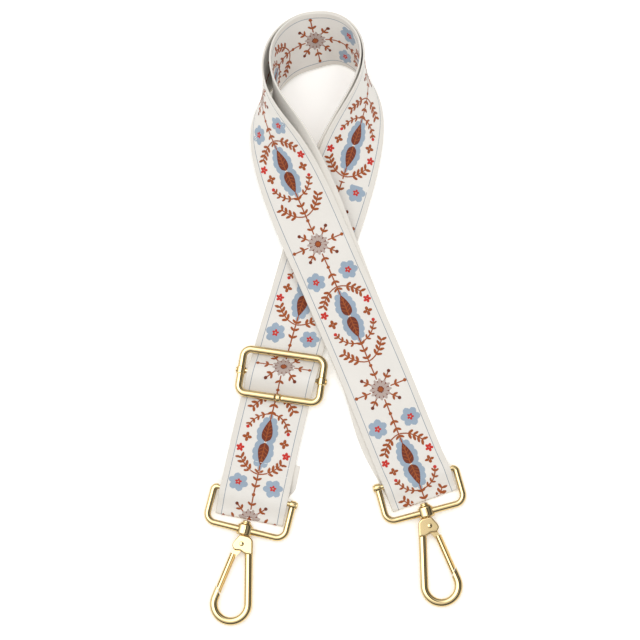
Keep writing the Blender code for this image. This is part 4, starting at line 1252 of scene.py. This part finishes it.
def make_ring(label, ring):
    """The U-shaped ring with its collar, and the bar riveted in its eye.

    At the end on the x axis, the wire bends over into the webbing's fold instead."""
    half = (RING_OPENING + RING_WIRE) / 2
    bend_x, bend_y = half - RING_CORNER, -RING_DEPTH + RING_CORNER
    runs = [[(-half, 0, 0)],
            arc((-bend_x, bend_y), RING_CORNER, pi, 1.5 * pi),
            arc((bend_x, bend_y), RING_CORNER, 1.5 * pi, 2 * pi),
            arc((half - RING_END_BEND, -RING_END_BEND), RING_END_BEND, 0, pi / 2)]
    section_points = circle(RING_WIRE / 2, across=RING_BAND / RING_WIRE)
    inner, outer = RING_OPENING / 2, RING_OPENING / 2 + RING_WIRE
    collar_half = COLLAR_LENGTH / 2
    reach = collar_half + OVERRUN
    wide, long, deep = COLLAR_SLOT
    collar = rounded_rod(COLLAR_WIDTH / 2, -RING_DEPTH - collar_half, -RING_DEPTH + collar_half,
                         COLLAR_ROUND, "Y", COLLAR_THICKNESS / COLLAR_WIDTH)
    slot = prism([(x * wide / 2, y * long / 2) for x, y in ((-1, -1), (1, -1), (1, 1), (-1, 1))], 2 * deep)
    ring.make(f"{label}_ring_wire", loft(wire_rings(join_runs(runs, RING_STEP), section_points)),
              f"{label}_ring",
              [("UNION", collar),
               ("UNION", rounded_rod(EYE_RADIUS, -outer, -inner, EYE_ROUND, "X")),
               bored(CROSS_BAR / 2 + GAP / 3, -outer - OVERRUN, half - RING_WIRE / 2 + GAP, "X"),
               bored(PIN_BORE, -RING_DEPTH - reach, -RING_DEPTH + reach, "Y"),
               ("DIFFERENCE", moved(slot, (0, -RING_DEPTH, COLLAR_THICKNESS / 2)))])
    head = outer + GAP / 3
    end = head + CROSS_BAR_HEAD_THICKNESS + GAP / 2
    radii, places = riveted(CROSS_BAR_HEAD / 2, BAR_CROWN, end, CROSS_BAR_HEAD_THICKNESS / 2, head)
    radii += [CROSS_BAR / 2, CROSS_BAR / 2]
    places += [-head, half - RING_WIRE / 2]
    ring.make(f"{label}_ring_bar", rod(radii, places, "X"), f"{label}_cross_bar")


def spine_line_x(y):
    end_x = HOOK_EYE_X + HOOK_EYE_RADIUS * cos(SPINE_LEAN)
    end_y = HOOK_EYE_Y + HOOK_EYE_RADIUS * sin(SPINE_LEAN)
    return end_x - (y - end_y) * tan(SPINE_LEAN)


def gate_line_x(y):
    start_x = HOOK_EYE_X - HOOK_EYE_RADIUS * cos(GATE_LEAN)
    start_y = HOOK_EYE_Y + HOOK_EYE_RADIUS * sin(GATE_LEAN)
    return start_x + (y - start_y) * tan(GATE_LEAN)


def head_outline():
    """The head plate's edge, from the collar round the spine's root and up the gate's side."""
    half = HOOK_WIRE_WIDTH / 2
    low, corner = HEAD_BOTTOM_Y, HEAD_CORNER
    shoulder = HEAD_TOP_Y - 1.5 * corner
    left, right = HEAD_TOP
    cheek_x, cheek_y = HEAD_CHEEK
    return [(-left, HEAD_TOP_Y), (right, HEAD_TOP_Y), (spine_line_x(shoulder) + half, shoulder),
            (spine_line_x(low) + half, low), (spine_line_x(low) - half, low - corner / 3),
            (corner / 2, low + corner), (-left, low + corner / 2),
            (-cheek_x + 2 * corner, low + corner / 2), (-cheek_x, cheek_y), (-cheek_x + corner / 2, RIVET_Y)]


def make_hook(label, hook):
    """The hook with its spine at -x: spine, eye and nose of one bent wire, grown into the head plate."""
    bend = arc((HOOK_EYE_X, HOOK_EYE_Y), HOOK_EYE_RADIUS, SPINE_LEAN, -pi - GATE_LEAN, FINE_EYE)
    top = (spine_line_x(SPINE_TOP_Y), SPINE_TOP_Y, 0)
    nose = (gate_line_x(NOSE_Y), NOSE_Y, 0)
    path = sided(join_runs([[top], bend, [nose]], HOOK_STEP), -1)
    wire = slanted_wire(path, circle(HOOK_THICKNESS / 2, across=HOOK_WIRE_WIDTH / HOOK_THICKNESS), -1)
    outline = rounded_outline(sided(head_outline(), -1), HEAD_CORNER * 1.2)
    clear = GATE_LUG_RADIUS + GAP
    right = RIVET_X + clear + SPRING_THICKNESS + GAP
    left = RIVET_X - SLOT_LENGTH
    high, low = RIVET_Y + clear, HEAD_BOTTOM_Y - OVERRUN
    slot = prism(sided(((right, high), (left, high), (left, low), (right, low)), -1),
                 GATE_LUG_THICKNESS + 2 * GAP)
    rivet_place = (-RIVET_X, RIVET_Y, 0)
    hook.make(f"{label}_snap_hook", wire, f"{label}_hook_body",
              [("UNION", prism(outline, HEAD_THICKNESS, HEAD_EDGE_ROUND)), ("DIFFERENCE", slot),
               bored(RIVET_BORE, -HEAD_THICKNESS, HEAD_THICKNESS, "Z", rivet_place),
               bored(PIN_BORE, HEAD_TOP_Y - SWIVEL_SEAT_DEPTH, HEAD_TOP_Y + OVERRUN, "Y")])
    half = HEAD_THICKNESS / 2
    low, high = half + GAP / 6, half + GAP + RIVET_HEAD_THICKNESS
    radii, places = riveted(RIVET_HEAD, RIVET_CROWN, high, (high - low) * RIVET_CROWN_SHARE, low)
    rivet = moved(rod(*both_ends(radii + [RIVET_RADIUS], places + [-low]), "Z"), rivet_place)
    hook.make(f"{label}_rivet", rivet, f"{label}_gate_rivet")


def make_swivel(label, swivel):
    """The washer and the headed pin that hold the hook to the ring's collar."""
    low = COLLAR_LENGTH / 2 + GAP / 2
    high = low + SWIVEL_WASHER_THICKNESS + GAP / 2
    swivel.make(f"{label}_washer", rounded_rod(SWIVEL_WASHER / 2, low, high, GAP, "Y"),
                f"{label}_swivel_washer", [bored(PIN_BORE, low - OVERRUN, high + OVERRUN, "Y")])
    head_low = high + GAP / 3
    head_high = head_low + SWIVEL_HEAD_LENGTH
    foot = HEAD_TOP_Y - SWIVEL_SEAT_DEPTH + GAP
    pin, head = SWIVEL_PIN / 2, SWIVEL_HEAD / 2
    flat, round_off, depth = SWIVEL_HEAD_CROWN
    angles = [pi / 2 * i / SWIVEL_HEAD_STEPS for i in range(SWIVEL_HEAD_STEPS + 1)]
    radii = [pin, pin, head * SWIVEL_HEAD_FOOT, head]
    radii += [head * (flat + round_off * cos(a)) for a in angles]
    places = [foot, head_low, head_low, head_low + GAP]
    places += [head_high - SWIVEL_HEAD_LENGTH * depth * (1 - sin(a)) for a in angles]
    swivel.make(f"{label}_pin", rod(radii, places, "Y"), f"{label}_swivel_pin")


def gate_section():
    """The gate's section: an oval with a shallow channel along its upper and lower face."""
    wide = GATE_GROOVE_WIDTH / 2
    points = []
    for u, v in circle(GATE_THICKNESS / 2, 2 * FINE_SIDES, GATE_WIDTH / GATE_THICKNESS):
        share = float(plateau(abs(u), 0, wide, 1, wide * 0.5))
        points.append((u, v - copysign(GATE_GROOVE_DEPTH, v) * share))
    return points


def make_gate(label, side, gate):
    """The spring gate about its rivet."""
    end_y = NOSE_Y + 2 * GATE_GAP
    top = (gate_line_x(GATE_TOP_Y) - RIVET_X, GATE_TOP_Y - RIVET_Y, 0)
    end = (gate_line_x(end_y) - RIVET_X, end_y - RIVET_Y, 0)
    path = join_runs([sided([top], side), sided([end], side)], GATE_STEP)
    half = GATE_WIDTH / 2 - HEAD_CORNER / 4
    outline = [(top[0] - half, top[1] - half), (top[0] + half, top[1] - half)]
    outline += [place[:2] for place in arc((0, 0), GATE_LUG_RADIUS, -pi / 6, pi, 2 * FINE_ARC)]
    gate.make(f"{label}_spring_gate", slanted_wire(path, gate_section(), side), f"{label}_gate",
              [("UNION", prism(sided(outline, side), GATE_LUG_THICKNESS)),
               bored(RIVET_BORE, -HEAD_THICKNESS, HEAD_THICKNESS, "Z")])


def make_metal():
    gold = metal_material("polished_pale_gold", GOLD, GOLD_RIM, 0.07, 0.5)
    steel = metal_material("spring_steel_leaf", STEEL, STEEL, 0.3)
    make_slider(gold)
    for label, side in (("left", 1), ("right", -1)):
        joint = next(j for j in frame["joints"] if j["name"] == f"{label}_ring_hinge")
        ring = flat_frame(Vector(joint["pos_m"]), -Vector(joint["axis"]))
        # The wire's end that bends over is the one away from the strap's middle
        turned = ring @ MIRROR if (ring[0][0] > 0) == (side > 0) else ring
        make_ring(label, Fitting(turned, f"{label}_ring", gold))
        swivel = ring @ Matrix.Translation((0, -RING_DEPTH, 0))
        make_swivel(label, Fitting(swivel, f"{label}_hook", gold))
        make_hook(label, Fitting(swivel @ MIRROR if side > 0 else swivel, f"{label}_hook", gold))
        gate = swivel @ Matrix.Translation((side * RIVET_X, RIVET_Y, 0))
        make_gate(label, side, Fitting(gate, f"{label}_gate", gold))
        spring = frame["nodes"][f"{label}_gate_spring"]
        spring.data.materials.clear()
        spring.data.materials.append(steel)


def set_camera():
    camera = bpy.data.objects.new("camera", bpy.data.cameras.new("camera"))
    bpy.context.scene.collection.objects.link(camera)
    camera.data.sensor_width = SENSOR
    camera.data.lens = FOCAL_PIXELS / PHOTO_WIDTH * SENSOR
    camera.data.clip_end = 20
    back = Vector((0, -sin(VIEW_LEAN), cos(VIEW_LEAN)))
    camera.location = VIEW_TARGET + back * VIEW_DISTANCE
    camera.rotation_euler = (VIEW_LEAN, 0, 0)
    bpy.context.scene.camera = camera


def floor_material():
    """A pale floor that is seen through from below."""
    material, n = start_material("pale_floor")
    grain = n.noise(n.add("ShaderNodeTexCoord").outputs["Object"], 60, 2)
    n.feed(n.shader, {"Base Color": n.mix(grain, *FLOOR_TINTS), "Roughness": 0.9,
                      "Specular IOR Level": 0.1, "Emission Color": FLOOR_GLOW, "Emission Strength": 1.0})
    sides = n.feed(n.add("ShaderNodeMixShader"),
                   {0: n.add("ShaderNodeNewGeometry").outputs["Backfacing"], 1: n.shader.outputs[0],
                    2: n.add("ShaderNodeBsdfTransparent").outputs[0]})
    n.feed(n.tree.nodes["Material Output"], {"Surface": sides.outputs[0]})
    return material


def set_stage():
    """A pale floor, a white surround and two soft lamps."""
    bpy.context.scene.view_settings.view_transform = "Standard"
    size, low = FLOOR_SIZE, -FLOOR_GAP
    corners = [(-size, -size, low), (size, -size, low), (size, size, low), (-size, size, low)]
    ground = new_piece("floor", corners, [(0, 1, 2, 3)], [floor_material()], smooth=False)
    world = bpy.data.worlds.new("surround")
    bpy.context.scene.world = world
    world.use_nodes = True
    light_world(Nodes(world.node_tree))
    for name, place, size, power in LAMPS:
        lamp = bpy.data.objects.new(name, bpy.data.lights.new(name, "AREA"))
        bpy.context.scene.collection.objects.link(lamp)
        lamp.data.shape = "RECTANGLE"
        lamp.data.size, lamp.data.size_y = size
        lamp.data.energy = power
        lamp.location = place
        lamp.visible_glossy = False
        lamp.rotation_euler = (Vector(place) * -1).to_track_quat("-Z", "Y").to_euler()


def light_world(n):
    """Plain white for the camera and the cloth, and a soft box in a darker room for what metal mirrors."""
    place = n.add("ShaderNodeTexCoord").outputs["Generated"]

    def nearness(direction):
        node = n.add("ShaderNodeVectorMath", operation="DOT_PRODUCT")
        return n.feed(node, {0: place, 1: direction}).outputs["Value"]

    shift = n.math("MULTIPLY_ADD", n.noise(place, 1.7, 1.0), 2 * MIRROR_SHIFT, -MIRROR_SHIFT)
    height = n.math("ADD", nearness(SOFT_BOX_TOWARDS), shift)
    curve = n.feed(n.add("ShaderNodeFloatCurve"), {"Value": height})
    curve.mapping.use_clip = False
    curve.mapping.extend = "HORIZONTAL"
    most = max(value for _, value in MIRRORED)
    shares = [(level, value / most) for level, value in MIRRORED]
    points = curve.mapping.curves[0].points
    points[0].location = shares[0]
    points[-1].location = shares[-1]
    for level, share in shares[1:-1]:
        points.new(level, share)
    for point in points:
        point.handle_type = "AUTO_CLAMPED"
    curve.mapping.update()
    outer, inner, share = CAMERA_SHADE
    shade = n.feed(n.add("ShaderNodeMapRange", interpolation_type="SMOOTHSTEP"),
                   {"Value": nearness(CAMERA_SHADE_TOWARDS), "From Min": outer, "From Max": inner,
                    "To Min": most, "To Max": most * (1 - share)})
    mirrored = n.math("MULTIPLY", curve.outputs[0], shade.outputs[0])
    path = n.add("ShaderNodeLightPath")
    lit = n.blend(path.outputs["Is Glossy Ray"], WORLD_STRENGTH, mirrored)
    seen = n.blend(path.outputs["Is Camera Ray"], lit, 1.0)
    n.feed(n.tree.nodes["Background"], {"Color": (1, 1, 1, 1), "Strength": seen})


set_camera()
set_stage()
make_webbing()
make_metal()
